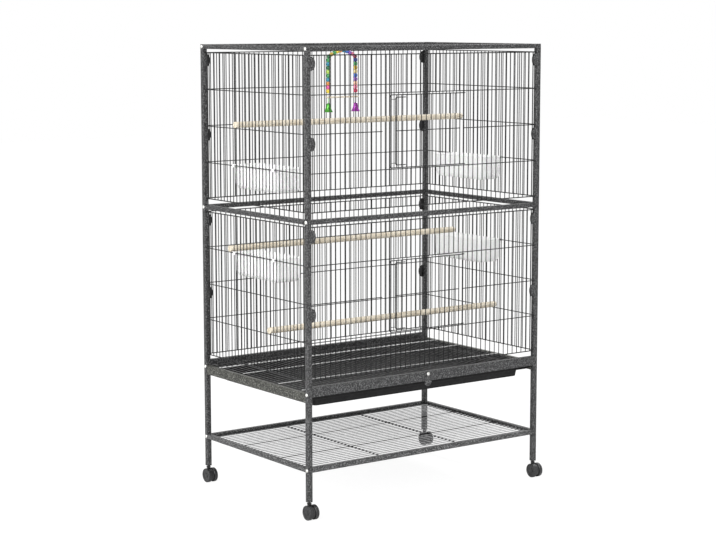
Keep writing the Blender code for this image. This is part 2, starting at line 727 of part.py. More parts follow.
def bead_string():
    """One string of beads as a tube that swells at each bead and narrows between beads."""
    steps = 2 * round(SWING_COLUMN / BEAD_PITCH) + 1
    path = swing_path(steps)
    sides = 5
    rings = []
    for index, point in enumerate(path):
        before = path[max(index - 1, 0)]
        after = path[min(index + 1, len(path) - 1)]
        along = (after - before).normalized()
        across = along.cross(Vector((0, 1, 0))).normalized()
        radius = BEAD_RADIUS if index % 2 else BEAD_NECK
        ring = []
        for corner in range(sides):
            angle = 2 * math.pi * corner / sides
            ring.append(point + radius * (math.cos(angle) * across + math.sin(angle) * Vector((0, 1, 0))))
        rings.append(ring)
    return lofted(rings), (steps - 1) * BEAD_PITCH / 2 + SWING_ARCH


def add_swing(cage):
    """A bead swing that hooks on the roof's middle cross wire and swings to the front and back."""
    hang = ROOF_HEIGHT - CROSS_LAYER
    places = wire_places(LONG_WIRES, LONG_PITCH)
    x = (places[int(SWING_WIRE)] + places[int(SWING_WIRE) + 1]) / 2
    pivot = bpy.data.objects.new("swing_pivot", None)
    bpy.context.scene.collection.objects.link(pivot)
    pivot.parent = cage
    pivot.location = (x, 0, hang)
    string, rise = bead_string()
    foot = -SWING_CROWN - rise
    moved(string, (0, 0, foot))
    ring_inner = FINE_WIRE / 2 * math.sqrt(2) + RUNNING
    outline = []
    hole = []
    for index in range(12):
        angle = 2 * math.pi * index / 12
        outer_r = max(ring_inner + RING_WIRE, RING_RADIUS)
        outline.append((outer_r * math.cos(angle), outer_r * math.sin(angle)))
        hole.append((ring_inner * math.cos(angle) * 1.04, ring_inner * math.sin(angle) * 1.04))
    ring = prism(outline, -RING_WIRE / 2, RING_WIRE / 2, plane="YZ")
    ring = cut(ring, prism(hole, -POST, POST, plane="YZ"))
    neck = blocks([((-RING_WIRE / 3, -RING_WIRE / 2.4, -SWING_CROWN - BEAD_NECK / 2),
                    (RING_WIRE / 3, RING_WIRE / 2.4, -ring_inner - RING_WIRE / 2))])
    piece("swing_beads", joined(string, neck, ring), BEAD_RED, pivot, smooth=80)
    bar_z = foot - SEAT - BAR_RADIUS
    reach = SWING_HALF + BAR_OVERHANG
    bar = turned([(BAR_RADIUS, -reach), (BAR_RADIUS, reach)], 10, axis="X")
    piece("swing_bar", bar, PINE, pivot, (0, 0, bar_z), smooth=40)
    for side, name, finish in ((-1, "left", BELL_GREEN), (1, "right", BELL_PURPLE)):
        bell = swing_bell(bar_z - BAR_RADIUS * 0.99 - SEAT)
        piece(f"swing_bell_{name}", bell, finish, pivot, (side * SWING_HALF, 0, 0), smooth=40)


def swing_bell(top):
    """A flared bell, open below, with the stem that ties it to the bar."""
    stem = BELL_SKIN * 0.8
    crown = top - BELL_DROP
    mouth = crown - BELL_HEIGHT
    outer = [(stem, top), (stem, crown), (BELL_RADIUS * 0.42, crown - BELL_HEIGHT * 0.10),
             (BELL_RADIUS * 0.62, crown - BELL_HEIGHT * 0.45), (BELL_RADIUS, mouth)]
    inner = [(BELL_RADIUS - BELL_SKIN, mouth), (BELL_RADIUS * 0.62 - BELL_SKIN, crown - BELL_HEIGHT * 0.47),
             (BELL_RADIUS * 0.42 - BELL_SKIN, crown - BELL_HEIGHT * 0.20)]
    return turned(outer + inner, BELL_SIDES)


def add_casters(cage):
    """A swivel twin wheel caster under each post, all trailing to the front."""
    for side_x, name_x in ((-1, "left"), (1, "right")):
        for side_y, name_y in ((-1, "front"), (1, "back")):
            name = f"{name_y}_{name_x}"
            fork = piece(f"caster_fork_{name}", caster_fork(), BLACK_PLASTIC, cage,
                         (side_x * POST_X, side_y * POST_Y, 0), smooth=48)
            piece(f"caster_wheels_{name}", twin_wheels(), BLACK_PLASTIC, fork, (0, -TRAIL, WHEEL_RADIUS),
                  smooth=30)


def caster_fork():
    """The caster's body: a plate between the wheels, bored for the axle, under a turned collar."""
    top = POST_BOTTOM - SEAT
    outline = []
    steps = 8
    for index in range(steps + 1):
        angle = math.radians(50) + math.radians(300) * index / steps
        outline.append((-TRAIL + HUB_RADIUS * math.cos(angle), WHEEL_RADIUS + HUB_RADIUS * math.sin(angle)))
    seat = 2 * WHEEL_RADIUS + RUNNING
    shoulder = (seat + top) / 2
    outline.append((COLLAR_RADIUS * 0.9, WHEEL_RADIUS + HUB_RADIUS / 2))
    outline.append((COLLAR_RADIUS * 0.9, shoulder))
    outline.append((-COLLAR_RADIUS * 0.9, shoulder))
    plate = prism(outline, -HUB_THICK / 2, HUB_THICK / 2, plane="YZ")
    bore = turned([(AXLE_RADIUS + RUNNING, -HUB_THICK), (AXLE_RADIUS + RUNNING, HUB_THICK)], 8, axis="X")
    moved(bore, (0, -TRAIL, WHEEL_RADIUS))
    collar = turned([(COLLAR_RADIUS * 1.25, seat), (COLLAR_RADIUS * 1.25, shoulder - RUNNING),
                     (COLLAR_RADIUS * 0.9, top)], 8)
    return joined(cut(plate, bore), collar)


def twin_wheels():
    """Two dished wheels on one axle, turned as one piece about X."""
    half = TWIN_WIDTH / 2
    inside = half - WHEEL_WIDTH
    profile = [(WHEEL_RADIUS * 0.35, half - 2 * WHEEL_EDGE), (WHEEL_RADIUS * 0.80, half),
               (WHEEL_RADIUS, half - WHEEL_EDGE), (WHEEL_RADIUS, inside), (AXLE_RADIUS, inside)]
    mirrored = [(radius, -x) for radius, x in reversed(profile)]
    return turned(profile + mirrored, WHEEL_SIDES, axis="X")


def build():
    clear_scene()
    cage = bpy.data.objects.new("cage_origin", None)
    bpy.context.scene.collection.objects.link(cage)
    cage.location = (0, TRAIL, 0)
    add_frame(cage)
    add_panels(cage)
    add_mats(cage)
    add_doors(cage)
    add_tray(cage)
    add_cups(cage)
    add_perches(cage)
    add_swing(cage)
    add_casters(cage)


build()
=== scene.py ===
"""Looks of a two tier wire bird cage on casters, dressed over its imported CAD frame."""
import math

import bmesh
import bpy
import numpy as np
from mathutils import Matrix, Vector


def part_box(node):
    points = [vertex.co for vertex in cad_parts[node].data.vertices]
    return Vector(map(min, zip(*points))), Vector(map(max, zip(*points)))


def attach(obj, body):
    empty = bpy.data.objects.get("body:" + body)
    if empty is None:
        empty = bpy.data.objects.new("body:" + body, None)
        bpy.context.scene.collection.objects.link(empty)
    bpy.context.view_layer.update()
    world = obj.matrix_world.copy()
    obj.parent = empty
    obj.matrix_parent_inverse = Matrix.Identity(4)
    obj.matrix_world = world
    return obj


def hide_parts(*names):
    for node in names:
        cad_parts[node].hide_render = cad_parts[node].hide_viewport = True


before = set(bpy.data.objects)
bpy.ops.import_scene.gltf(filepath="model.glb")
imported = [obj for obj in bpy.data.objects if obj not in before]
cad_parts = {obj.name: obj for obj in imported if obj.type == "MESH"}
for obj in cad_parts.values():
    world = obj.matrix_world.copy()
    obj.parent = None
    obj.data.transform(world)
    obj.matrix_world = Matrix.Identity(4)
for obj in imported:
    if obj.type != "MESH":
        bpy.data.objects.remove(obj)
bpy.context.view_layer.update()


# Frame tubes. Square steel tube with softly rounded edges, in dark hammertone powder coat.
# The side frames are welded ladders, and the long rails and aprons stand between them. Each apron
# is drawn a little lower than its solid.
POST = 0.014
TUBE_ROUND = 0.0016
TUBE_EASE = 0.0004
APRON_EASE = {"front": 0.0030, "back": 0.0030, "left": 0.0045, "right": 0.0045}
COAT_SPOTS = 300
GAP = 0.0003
front_low, front_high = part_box("top_rail_front")
back_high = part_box("top_rail_back")[1]
CENTRE_Y = (front_low.y + back_high.y) / 2
HALF_WIDTH = front_high.x + GAP + POST
HALF_DEPTH = (back_high.y - front_low.y) / 2 + (POST - (front_high.y - front_low.y)) / 2
HEIGHT = front_high.z
POST_X = HALF_WIDTH - POST / 2
POST_Y = HALF_DEPTH - POST / 2


def skin(name, rings):
    """Solids from rings of points, (count) x rows x around x 3: quads from row to row, both ends closed."""
    rings = rings.reshape(-1, *rings.shape[-3:])
    index = np.arange(rings[..., 0].size).reshape(rings.shape[:3])
    following = np.roll(index, -1, axis=2)
    quads = np.stack([index[:, :-1], following[:, :-1], following[:, 1:], index[:, 1:]], axis=-1)
    faces = quads.reshape(-1, 4).tolist() + index[:, 0, ::-1].tolist() + index[:, -1].tolist()
    mesh = bpy.data.meshes.new(name)
    mesh.from_pydata(rings.reshape(-1, 3).tolist(), [], faces)
    return mesh


def stand(name, mesh, material, body, nodes=(), sharp=35):
    """Makes an object of a mesh in place: faces outwards, smooth under the sharp angle, riding a body."""
    work = bmesh.new()
    work.from_mesh(mesh)
    bmesh.ops.recalc_face_normals(work, faces=work.faces)
    work.to_mesh(mesh)
    work.free()
    mesh.shade_smooth()
    mesh.set_sharp_from_angle(angle=math.radians(sharp))
    mesh.materials.append(material)
    item = bpy.data.objects.new(name, mesh)
    bpy.context.scene.collection.objects.link(item)
    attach(item, body)
    if nodes:
        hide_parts(*nodes)


def merged(name, meshes):
    """One mesh out of several, each kept as it is."""
    work = bmesh.new()
    for mesh in meshes:
        work.from_mesh(mesh)
    whole = bpy.data.meshes.new(name)
    work.to_mesh(whole)
    work.free()
    return whole


def rounded_rectangle(half_a, half_b, radius, steps=4):
    """Points round a rectangle: each corner's centre plus radius x (cos, sin) over a quarter turn."""
    turn = np.linspace(0, math.pi / 2, steps + 1)
    corners = []
    for quarter, (a, b) in enumerate(((1, 1), (-1, 1), (-1, -1), (1, -1))):
        angle = turn + quarter * math.pi / 2
        centre = np.array([a * (half_a - radius), b * (half_b - radius)])
        corners.append(centre + radius * np.stack([np.cos(angle), np.sin(angle)], axis=1))
    return np.concatenate(corners)


def square_tube(name, low, high):
    """A tube that fills a box, along its longest side, with rounded edges and slightly eased ends."""
    low, high = np.array(low), np.array(high)
    size = high - low
    axis = int(np.argmax(size))
    a, b = [other for other in range(3) if other != axis]
    middle = (low + high) / 2
    rings = []
    for along, inset in ((low[axis], TUBE_EASE), (low[axis] + TUBE_EASE, 0),
                         (high[axis] - TUBE_EASE, 0), (high[axis], TUBE_EASE)):
        flat = rounded_rectangle(size[a] / 2 - inset, size[b] / 2 - inset, TUBE_ROUND)
        ring = np.zeros((len(flat), 3))
        ring[:, axis] = along
        ring[:, a] = middle[a] + flat[:, 0]
        ring[:, b] = middle[b] + flat[:, 1]
        rings.append(ring)
    return skin(name, np.array(rings))


def finish_base(name, colour, roughness, metallic=0.0):
    """Starts a material: a Principled shader with its plain values, and Object coordinates to pattern it."""
    material = bpy.data.materials.new(name)
    material.use_nodes = True
    tree = material.node_tree
    shader = tree.nodes["Principled BSDF"]
    shader.inputs["Base Color"].default_value = (*colour, 1)
    shader.inputs["Roughness"].default_value = roughness
    shader.inputs["Metallic"].default_value = metallic
    place = tree.nodes.new("ShaderNodeTexCoord").outputs["Object"]
    return material, tree, shader, place


def add_node(tree, kind, values=()):
    """Adds a shader node of a kind, with (input, value) pairs for its sockets."""
    made = tree.nodes.new("ShaderNode" + kind)
    for socket, value in values:
        made.inputs[socket].default_value = value
    return made


def mottle(tree, place, scale, detail=4.0, stretch=None):
    """Noise over the object, scale in spots per metre, stretched along an axis where stretch says."""
    if stretch:
        mapping = add_node(tree, "Mapping", [("Scale", stretch)])
        tree.links.new(place, mapping.inputs["Vector"])
        place = mapping.outputs["Vector"]
    noise = add_node(tree, "TexNoise", [("Scale", scale), ("Detail", detail)])
    tree.links.new(place, noise.inputs["Vector"])
    return noise.outputs["Fac"]


def shade_between(tree, shader, fac, stops):
    """Colours the surface by a factor through colour stops of (position, colour)."""
    ramp = add_node(tree, "ValToRGB")
    elements = ramp.color_ramp.elements
    for element, (position, colour) in ((elements[0], stops[0]), (elements[1], stops[-1])):
        element.position = position
        element.color = (*colour, 1)
    for position, colour in stops[1:-1]:
        elements.new(position).color = (*colour, 1)
    tree.links.new(fac, ramp.inputs["Fac"])
    tree.links.new(ramp.outputs["Color"], shader.inputs["Base Color"])


def gloss_between(tree, shader, fac, smooth, rough):
    """Spreads a factor from 0.3 to 0.7 over a range of roughness."""
    spread = add_node(tree, "MapRange", [("From Min", 0.3), ("From Max", 0.7),
                                         ("To Min", smooth), ("To Max", rough)])
    tree.links.new(fac, spread.inputs["Value"])
    tree.links.new(spread.outputs["Result"], shader.inputs["Roughness"])


def relief(tree, shader, fac, depth, strength=1.0):
    """Raises the surface by a factor, depth in metres."""
    bump = add_node(tree, "Bump", [("Strength", strength), ("Distance", depth)])
    tree.links.new(fac, bump.inputs["Height"])
    tree.links.new(bump.outputs["Normal"], shader.inputs["Normal"])


def hammertone(name, dark, light):
    """Hammered powder coat: pale round spots, darker between them and in slow clouds."""
    material, tree, shader, place = finish_base(name, light, 0.42, 0.25)
    cells = add_node(tree, "TexVoronoi", [("Scale", COAT_SPOTS)])
    cells.feature = "SMOOTH_F1"
    cells.inputs["Smoothness"].default_value = 0.35
    tree.links.new(place, cells.inputs["Vector"])
    clouded = add_node(tree, "Math", [(1, 0.9)])
    clouded.operation = "MULTIPLY_ADD"
    tree.links.new(mottle(tree, place, 210, 3.0), clouded.inputs[0])
    tree.links.new(cells.outputs["Distance"], clouded.inputs[2])
    shade_between(tree, shader, clouded.outputs[0], [(0.48, light), (1.0, dark)])
    gloss_between(tree, shader, mottle(tree, place, 160), 0.36, 0.54)
    relief(tree, shader, cells.outputs["Distance"], -0.00022, 0.8)
    return material


frame_coat = hammertone("hammertone_charcoal", (0.022, 0.022, 0.023), (0.205, 0.206, 0.208))
apron_coat = hammertone("hammertone_side_apron", (0.020, 0.020, 0.017), (0.262, 0.264, 0.232))
shelf_coat = hammertone("hammertone_shelf_rail", (0.034, 0.034, 0.035), (0.300, 0.301, 0.303))

for side_x, name_x in ((-1, "left"), (1, "right")):
    for side_y, name_y in ((-1, "front"), (1, "back")):
        node = f"post_{name_y}_{name_x}"
        centre = Vector((side_x * POST_X, CENTRE_Y + side_y * POST_Y, 0))
        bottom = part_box(node)[0].z
        low = (centre.x - POST / 2, centre.y - POST / 2, bottom)
        high = (centre.x + POST / 2, centre.y + POST / 2, HEIGHT)
        stand(f"square_post_{name_y}_{name_x}", square_tube(node, low, high), frame_coat, "cage",
              [node])

for level in ("top_rail", "middle_rail", "base_apron", "shelf_rail"):
    for name in ("front", "back", "left", "right"):
        node = f"{level}_{name}"
        low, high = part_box(node)
        coat = shelf_coat if level == "shelf_rail" else frame_coat
        if level == "base_apron":
            high.z -= APRON_EASE[name]
            coat = apron_coat if name in ("left", "right") else frame_coat
        stand(f"square_{node}", square_tube(node, low, high), coat, "cage", [node])


# Rail bolts. Each long rail is held by a bolt through the post at each end, with its bright
# domed zinc head, hollowed for the key, on the post's outer face.
BOLT_RADIUS = 0.0050
BOLT_RISE = 0.0026
BOLT_SHAPE = ((0.03, 0.30), (0.36, 0.34), (0.40, 0.97), (0.52, 0.93), (0.80, 0.68), (0.96, 0.30),
              (1.0, 0.08), (1.0, -0.2))
BOLT_SINK = 0.0002
APRON_BOLT_DROP = 0.0078
X_AXIS, Y_AXIS, Z_AXIS = np.eye(3)


def circle(across, third, sides):
    """A unit circle in the plane of each pair of axes: cos x across + sin x third."""
    angle = np.linspace(0, 2 * math.pi, sides, endpoint=False)[:, None]
    return np.cos(angle) * np.array(across)[..., None, :] + np.sin(angle) * np.array(third)[..., None, :]


def turned(name, profile, centre, axis, sides=32):
    """Turns a profile of (radius, distance along the axis) about the axis through centre."""
    profile = np.array(profile, float)
    across = Z_AXIS if abs(axis[2]) < 0.5 else X_AXIS
    around = circle(across, np.cross(axis, across), sides)
    return skin(name, np.array(centre) + profile[:, None, :1] * around + profile[:, None, 1:] * axis)


def zinc_finish():
    """Bright zinc plate with fine cloudy patches and hairline streaks in its gloss."""
    material, tree, shader, place = finish_base("bright_zinc", (0.78, 0.78, 0.75), 0.28, 0.85)
    cloud = mottle(tree, place, 700, 3.0)
    shade_between(tree, shader, cloud, [(0.3, (0.66, 0.66, 0.63)), (0.7, (0.86, 0.86, 0.84))])
    gloss_between(tree, shader, mottle(tree, place, 300, 2.0, (1, 8, 8)), 0.20, 0.40)
    relief(tree, shader, mottle(tree, place, 2500), 0.00004)
    return material


zinc = zinc_finish()
bolt_profile = [(radius * BOLT_RADIUS, rise * BOLT_RISE) for radius, rise in BOLT_SHAPE]
for side_x, name_x in ((-1, "left"), (1, "right")):
    heads = []
    for name_y in ("front", "back"):
        for level in ("top_rail", "middle_rail", "base_apron", "shelf_rail"):
            low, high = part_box(f"{level}_{name_y}")
            height = (low.z + high.z) / 2 - (APRON_BOLT_DROP if level == "base_apron" else 0)
            spot = (side_x * (HALF_WIDTH - BOLT_SINK), (low.y + high.y) / 2, height)
            heads.append(turned("bolt_head", bolt_profile, spot, side_x * X_AXIS, 20))
    stand(f"rail_bolts_{name_x}", merged("rail_bolts", heads), zinc, "cage")


# Panel clips. Black plastic half ovals on the inner faces of the posts, which snap over the end
# wires of the front and back panels, each under a thin cover in the frame's own coat.
CLIP_HEIGHT = 0.036
CLIP_REACH = 0.0143
CLIP_ROOT = 0.002
CLIP_TOPS = (1.2174, 1.0102, 0.7699, 0.5630)
CLIP_OUT = 0.0037
CLIP_THICK = 0.0066
COVER = 0.0010
PANEL_INSET = 0.0044
PANEL_Y = HALF_DEPTH - PANEL_INSET


def black_plastic(name, dark, light, rough):
    """Moulded plastic: faint cloudy tone, fine grain and uneven gloss."""
    material, tree, shader, place = finish_base(name, light, rough)
    shade_between(tree, shader, mottle(tree, place, 60), [(0.35, dark), (0.7, light)])
    gloss_between(tree, shader, mottle(tree, place, 220), rough - 0.08, rough + 0.12)
    relief(tree, shader, mottle(tree, place, 1800, 2.0), 0.00006)
    return material


def half_oval_clip(side_x, side_y, middle, steps):
    """Half an oval, reach x cos^0.8 and half height x sin, carried inward by steps of (inset, depth)."""
    angle = np.linspace(-math.pi / 2, math.pi / 2, 25)
    face = side_x * (HALF_WIDTH - POST)
    rings = []
    for inset, depth in steps:
        x = face - side_x * (CLIP_REACH - inset) * np.abs(np.cos(angle)) ** 0.8
        x = np.append(x, [face + side_x * CLIP_ROOT] * 2)
        z = np.append(middle + (CLIP_HEIGHT / 2 - inset) * np.sin(angle),
                      [middle + CLIP_HEIGHT / 2 - inset, middle - CLIP_HEIGHT / 2 + inset])
        y = np.full_like(x, CENTRE_Y + side_y * (PANEL_Y + CLIP_OUT - depth))
        rings.append(np.stack([x, y, z], axis=1))
    return skin("clip", np.array(rings))


clip_plastic = black_plastic("black_clip_plastic", (0.004, 0.004, 0.0045), (0.010, 0.010, 0.011), 0.45)
clip_steps = [(0.0003, COVER), (0.0, COVER + 0.0003), (0.0, CLIP_THICK - 0.0009),
              (0.0003, CLIP_THICK - 0.0003), (0.0009, CLIP_THICK)]
cover_steps = [(0.0012, 0.0), (0.0007, 0.0003), (0.0006, COVER + 0.0001)]
middles = [top - CLIP_HEIGHT / 2 for top in CLIP_TOPS]
for side_x, name_x in ((-1, "left"), (1, "right")):
    for side_y, name_y in ((-1, "front"), (1, "back")):
        clips = [half_oval_clip(side_x, side_y, middle, clip_steps) for middle in middles]
        spot = f"{name_y}_{name_x}"
        stand(f"panel_clips_{spot}", merged("clips", clips), clip_plastic, "cage")
        covers = [half_oval_clip(side_x, side_y, middle, cover_steps) for middle in middles]
        stand(f"clip_covers_{spot}", merged("covers", covers), frame_coat, "cage")


# Wire panels. Upright round wires welded between a top and a bottom bar, with cross wires welded
# on outside, all in dark powder coat. The front panels have an opening for the door, and three
# uprights of each back panel are thicker.
FINE = 0.00125
STIFF = 0.0014
BAR = 0.0015
WELD = 0.0003
CROSS_OUT = STIFF + FINE - WELD
ROW = 0.1016
ROWS = 4
WIRE_PITCH = 0.01664
LONG_COUNT = 46
SIDE_PITCH = 0.01617
SIDE_COUNT = 30
FLOORS = {tier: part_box(f"panel_back_{tier}")[0].z + BAR for tier in ("upper", "lower")}
DOOR_FIRST = 15
DOOR_LAST = 30
BACK_STIFF = (-0.284, -0.134, 0.250)
BACK_THICK = 0.0019


def unit(vectors):
    """Each row's vector, cut to a length of 1."""
    return vectors / np.linalg.norm(vectors, axis=1, keepdims=True)


def straight_wires(name, starts, ends, radii, sides=10):
    """Round wires with eased ends: circles square to each wire, smaller at its ends than just inside."""
    starts, ends, radii = (np.array(values, float) for values in (starts, ends, radii))
    along = unit(ends - starts)
    across = unit(np.cross(along, np.where(np.abs(along[:, 2:]) < 0.5, Z_AXIS, X_AXIS)))
    round_wire = circle(across, np.cross(along, across), sides)
    share = np.array([0.55, 1.0, 1.0, 0.55])
    depth = np.array([0.0, 0.35, -0.35, 0.0])
    base = np.stack([starts, starts, ends, ends], axis=1)
    middle = base + depth[None, :, None] * radii[:, None, None] * along[:, None]
    rise = share[None, :, None, None] * radii[:, None, None, None]
    return skin(name, middle[:, :, None] + rise * round_wire[:, None])


def mat_wires(count, pitch, rows, half, opening=None, thick=(), cross=FINE):
    """A mat's wires in its own plane, (u, v, out): starts, ends and radii, cross wires further out."""
    starts, ends, radii = [], [], []

    def lay(start, end, radius):
        starts.append(start)
        ends.append(end)
        radii.append(radius)

    places = (np.arange(count) - (count - 1) / 2) * pitch
    stiff = {0, count - 1} | set(opening or thick)
    layer = STIFF + cross - WELD
    for index, u in enumerate(places):
        radius = STIFF if index in stiff else FINE
        if opening and opening[0] < index < opening[1]:
            lay((u, rows[0], 0), (u, rows[1] + FINE, 0), FINE)
            lay((u, rows[-2] - FINE, 0), (u, rows[-1], 0), FINE)
        else:
            lay((u, rows[0], 0), (u, rows[-1], 0), radius)
    for v in (rows[0], rows[-1]):
        lay((-half, v, 0), (half, v, 0), BAR)
    for v in rows[1:-1]:
        if opening and v not in (rows[1], rows[-2]):
            lay((-half, v, layer), (places[opening[0] - 2] + 2 * FINE, v, layer), cross)
            lay((places[opening[1]] - 2 * STIFF, v, layer), (half, v, layer), cross)
        else:
            lay((-half, v, layer), (half, v, layer), cross)
    return np.array(starts), np.array(ends), np.array(radii)


def wire_coat(name, dark, light):
    """Thin powder coat on wire: light orange peel, in two close tones."""
    material, tree, shader, place = finish_base(name, light, 0.32, 0.30)
    shade_between(tree, shader, mottle(tree, place, 90), [(0.35, dark), (0.68, light)])
    gloss_between(tree, shader, mottle(tree, place, 260), 0.34, 0.50)
    shader.inputs["Specular IOR Level"].default_value = 0.25
    relief(tree, shader, mottle(tree, place, 1100, 2.0), 0.00008)
    return material


wire_paint = wire_coat("charcoal_wire_coat", (0.008, 0.008, 0.0085), (0.022, 0.0225, 0.023))


def wall_panel(side, tier, floor):
    """Places a mat's wires on one side of the cage: u along the wall, v up, out square to it."""
    rows = [floor + row * ROW for row in range(ROWS + 1)]
    low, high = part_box(f"panel_{side}_{tier}")
    long_side = side in ("front", "back")
    count, pitch = (LONG_COUNT, WIRE_PITCH) if long_side else (SIDE_COUNT, SIDE_PITCH)
    half = (high.x - low.x) / 2 if long_side else (high.y - low.y) / 2
    opening = (DOOR_FIRST, DOOR_LAST) if side == "front" else None
    thick = tuple(round(x / pitch + (count - 1) / 2) for x in BACK_STIFF) if side == "back" else ()
    starts, ends, radii = mat_wires(count, pitch, rows, half, opening, thick)
    radii[list(thick)] = BACK_THICK
    turn = {"front": 1, "back": -1, "left": -1, "right": 1}[side]

    def placed(points):
        u, v, out = points.T
        if long_side:
            return np.stack([u, CENTRE_Y - turn * (PANEL_Y + out), v], axis=1)
        return np.stack([turn * (POST_X + out), CENTRE_Y + u, v], axis=1)

    mesh = straight_wires(f"wires_{side}_{tier}", placed(starts), placed(ends), radii)
    stand(f"wire_panel_{side}_{tier}", mesh, wire_paint, "cage", [f"panel_{side}_{tier}"], 50)


for tier, floor in FLOORS.items():
    for side in ("front", "back", "left", "right"):
        wall_panel(side, tier, floor)


# Roof panel, floor grille and shelf mat. The same welded wire laid flat: the roof's cross wires run
# below it, those of the grille lie on top, and the shelf's wires run side to side over two bars.
ROOF_Z = HEIGHT - 0.0064
GRILLE_Z = 0.3375
ROOF_CROSSES = (-0.125, 0.0, 0.125)
GRILLE_CROSSES = (-0.212, -0.100, 0.076, 0.185)
SHELF_BARS = (-0.134, 0.134)
SHELF_COUNT = 30
SHELF_STIFF = (9, 20)
SHELF_PITCH = 0.01661
shelf_low, shelf_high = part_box("shelf_rail_front")
SHELF_Z = (shelf_low.z + shelf_high.z) / 2


def two_coats(name, node, starts, ends, radii, second, paint, second_paint):
    """One mat as two pieces, with the wires marked in second in the second material: on the grille and the
    shelf, one of the two carries painted highlight.
    """
    for part, chosen, coat in (("", ~second, paint), ("_second", second, second_paint)):
        mesh = straight_wires(name + part, starts[chosen], ends[chosen], radii[chosen])
        stand(name + part, mesh, coat, "cage", () if part else [node], 50)


def flat_mat(name, node, height, crosses, rise, paint, cross_paint):
    """A mat laid level: u along the cage, v to the back, rise 1 puts the cross wires on top and -1 below."""
    low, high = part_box(node)
    end = (high.y - low.y) / 2 - BAR
    starts, ends, radii = mat_wires(LONG_COUNT, WIRE_PITCH, [-end, *crosses, end], (high.x - low.x) / 2)

    def placed(points):
        u, v, out = points.T
        return np.stack([u, CENTRE_Y + v, height + rise * out], axis=1)

    two_coats(name, node, placed(starts), placed(ends), radii, starts[:, 2] > 0, paint, cross_paint)


def shelf_mat():
    """The shelf's mat turned a quarter: u to the back, v along the cage, and its two bars below."""
    low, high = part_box("shelf_mat")
    end = (high.x - low.x) / 2 - BAR
    rows, half = [-end, *SHELF_BARS, end], (high.y - low.y) / 2
    starts, ends, radii = mat_wires(SHELF_COUNT, SHELF_PITCH, rows, half, None, SHELF_STIFF, BAR)

    def placed(points):
        u, v, out = points.T
        return np.stack([v, CENTRE_Y + u, SHELF_Z - out], axis=1)

    # The fine wires take the lighter coat with its painted highlight, and the stiff wires and bars take the
    # dark wire paint.
    two_coats("wire_shelf", "shelf_mat", placed(starts), placed(ends), radii, radii >= STIFF,
              shelf_highlight_paint, wire_paint)


# Painted highlight: the grille's cross wires are painted near white for the glint of the top light along
# their round tops.
grille_highlight_paint = wire_coat("painted_highlight_wire_coat", (0.50, 0.50, 0.50), (0.78, 0.78, 0.78))
# The grille's own wires in a grey several times lighter than the wall wires' paint.
lighter_grille_paint = wire_coat("lighter_grey_grille_coat", (0.065, 0.065, 0.065), (0.140, 0.140, 0.140))
# Painted highlight: the shelf's fine wires are painted a much lighter grey than its stiff wires and bars,
# for the top light on their round tops.
shelf_highlight_paint = wire_coat("painted_highlight_shelf_coat", (0.22, 0.22, 0.225), (0.42, 0.42, 0.425))
flat_mat("wire_roof", "roof_panel", ROOF_Z, ROOF_CROSSES, -1, wire_paint, wire_paint)
flat_mat("wire_floor_grille", "floor_grille", GRILLE_Z, GRILLE_CROSSES, 1, lighter_grille_paint, grille_highlight_paint)
shelf_mat()


# Front doors. One bent wire makes the door's frame, its ends curled into eyes round the panel's
# stiff wire, and uprights and one short cross wire are welded inside it.
DOOR_WIRE = 0.0013
DOOR_OUT = 2 * STIFF + GAP
DOOR_FOOT = 0.0035
DOOR_HEAD = 0.0057
DOOR_FREE = 0.0062
DOOR_LEG = 0.009
HOOP_END = 0.001
CORNER = 0.006
EYE = 0.0034
EYE_WIRE = 0.77 * DOOR_WIRE


def wire_place(number):
    """Where a front panel's upright with this number stands, along X."""
    return (number - (LONG_COUNT - 1) / 2) * WIRE_PITCH


HINGE_U = wire_place(DOOR_LAST)
FREE_U = wire_place(DOOR_FIRST) - DOOR_FREE


def bent_wire(name, path, radius, flat_normal, sides=12):
    """Carries a circle along a flat path, on two axes: the path's direction x the normal, and the normal."""
    along = unit(np.gradient(path, axis=0))
    across = unit(np.cross(along, flat_normal))
    return skin(name, path[:, None] + radius * circle(across, flat_normal, sides))


def arc(centre, first, second, start, end, radius, steps=10):
    """Points on a circle: centre + radius x (cos x first + sin x second), from start to end in degrees."""
    angle = np.radians(np.linspace(start, end, steps))[:, None]
    return np.array(centre) + radius * (np.cos(angle) * first + np.sin(angle) * second)


def c_shape(right, left, y, low, high, bend, leg):
    """An upright C: two straight legs to the right, joined by a bar with a quarter circle at each end."""
    def legs(z):
        return [(right, y, z), (right - leg, y, z)]

    upper = arc((left + bend, y, high - bend), X_AXIS, Z_AXIS, 90, 180, bend)
    lower = arc((left + bend, y, low + bend), X_AXIS, Z_AXIS, 180, 270, bend)
    return np.concatenate([legs(high), upper, lower, legs(low)[::-1]])


def door_meshes(low, high, middle):
    """The door's wires, with its frame bent round two corners, in front of the panel's plane."""
    front = CENTRE_Y - PANEL_Y - DOOR_OUT
    hoop = c_shape(HINGE_U - HOOP_END, FREE_U, front, low, high, CORNER, DOOR_LEG)
    meshes = [bent_wire("door_hoop", hoop, DOOR_WIRE, Y_AXIS)]
    for level in (low, high):
        curl = arc((HINGE_U, CENTRE_Y - PANEL_Y, level), X_AXIS, Y_AXIS, 255, -60, EYE, 28)
        meshes.append(bent_wire("door_eye", curl, EYE_WIRE, Z_AXIS))
    uprights = wire_place(np.arange(DOOR_FIRST + 1, DOOR_LAST))
    radii = [STIFF] + [FINE] * (len(uprights) - 2) + [STIFF, FINE]
    starts = np.stack([uprights, np.full_like(uprights, front), np.full_like(uprights, low)], axis=1)
    ends = starts + (high - low) * Z_AXIS
    cross_y = front + STIFF + FINE - WELD / 2
    starts = np.append(starts, [[uprights[0] - 2 * STIFF, cross_y, middle]], axis=0)
    ends = np.append(ends, [[uprights[-1] + 2 * STIFF, cross_y, middle]], axis=0)
    return [*meshes, straight_wires("door_wires", starts, ends, radii)]


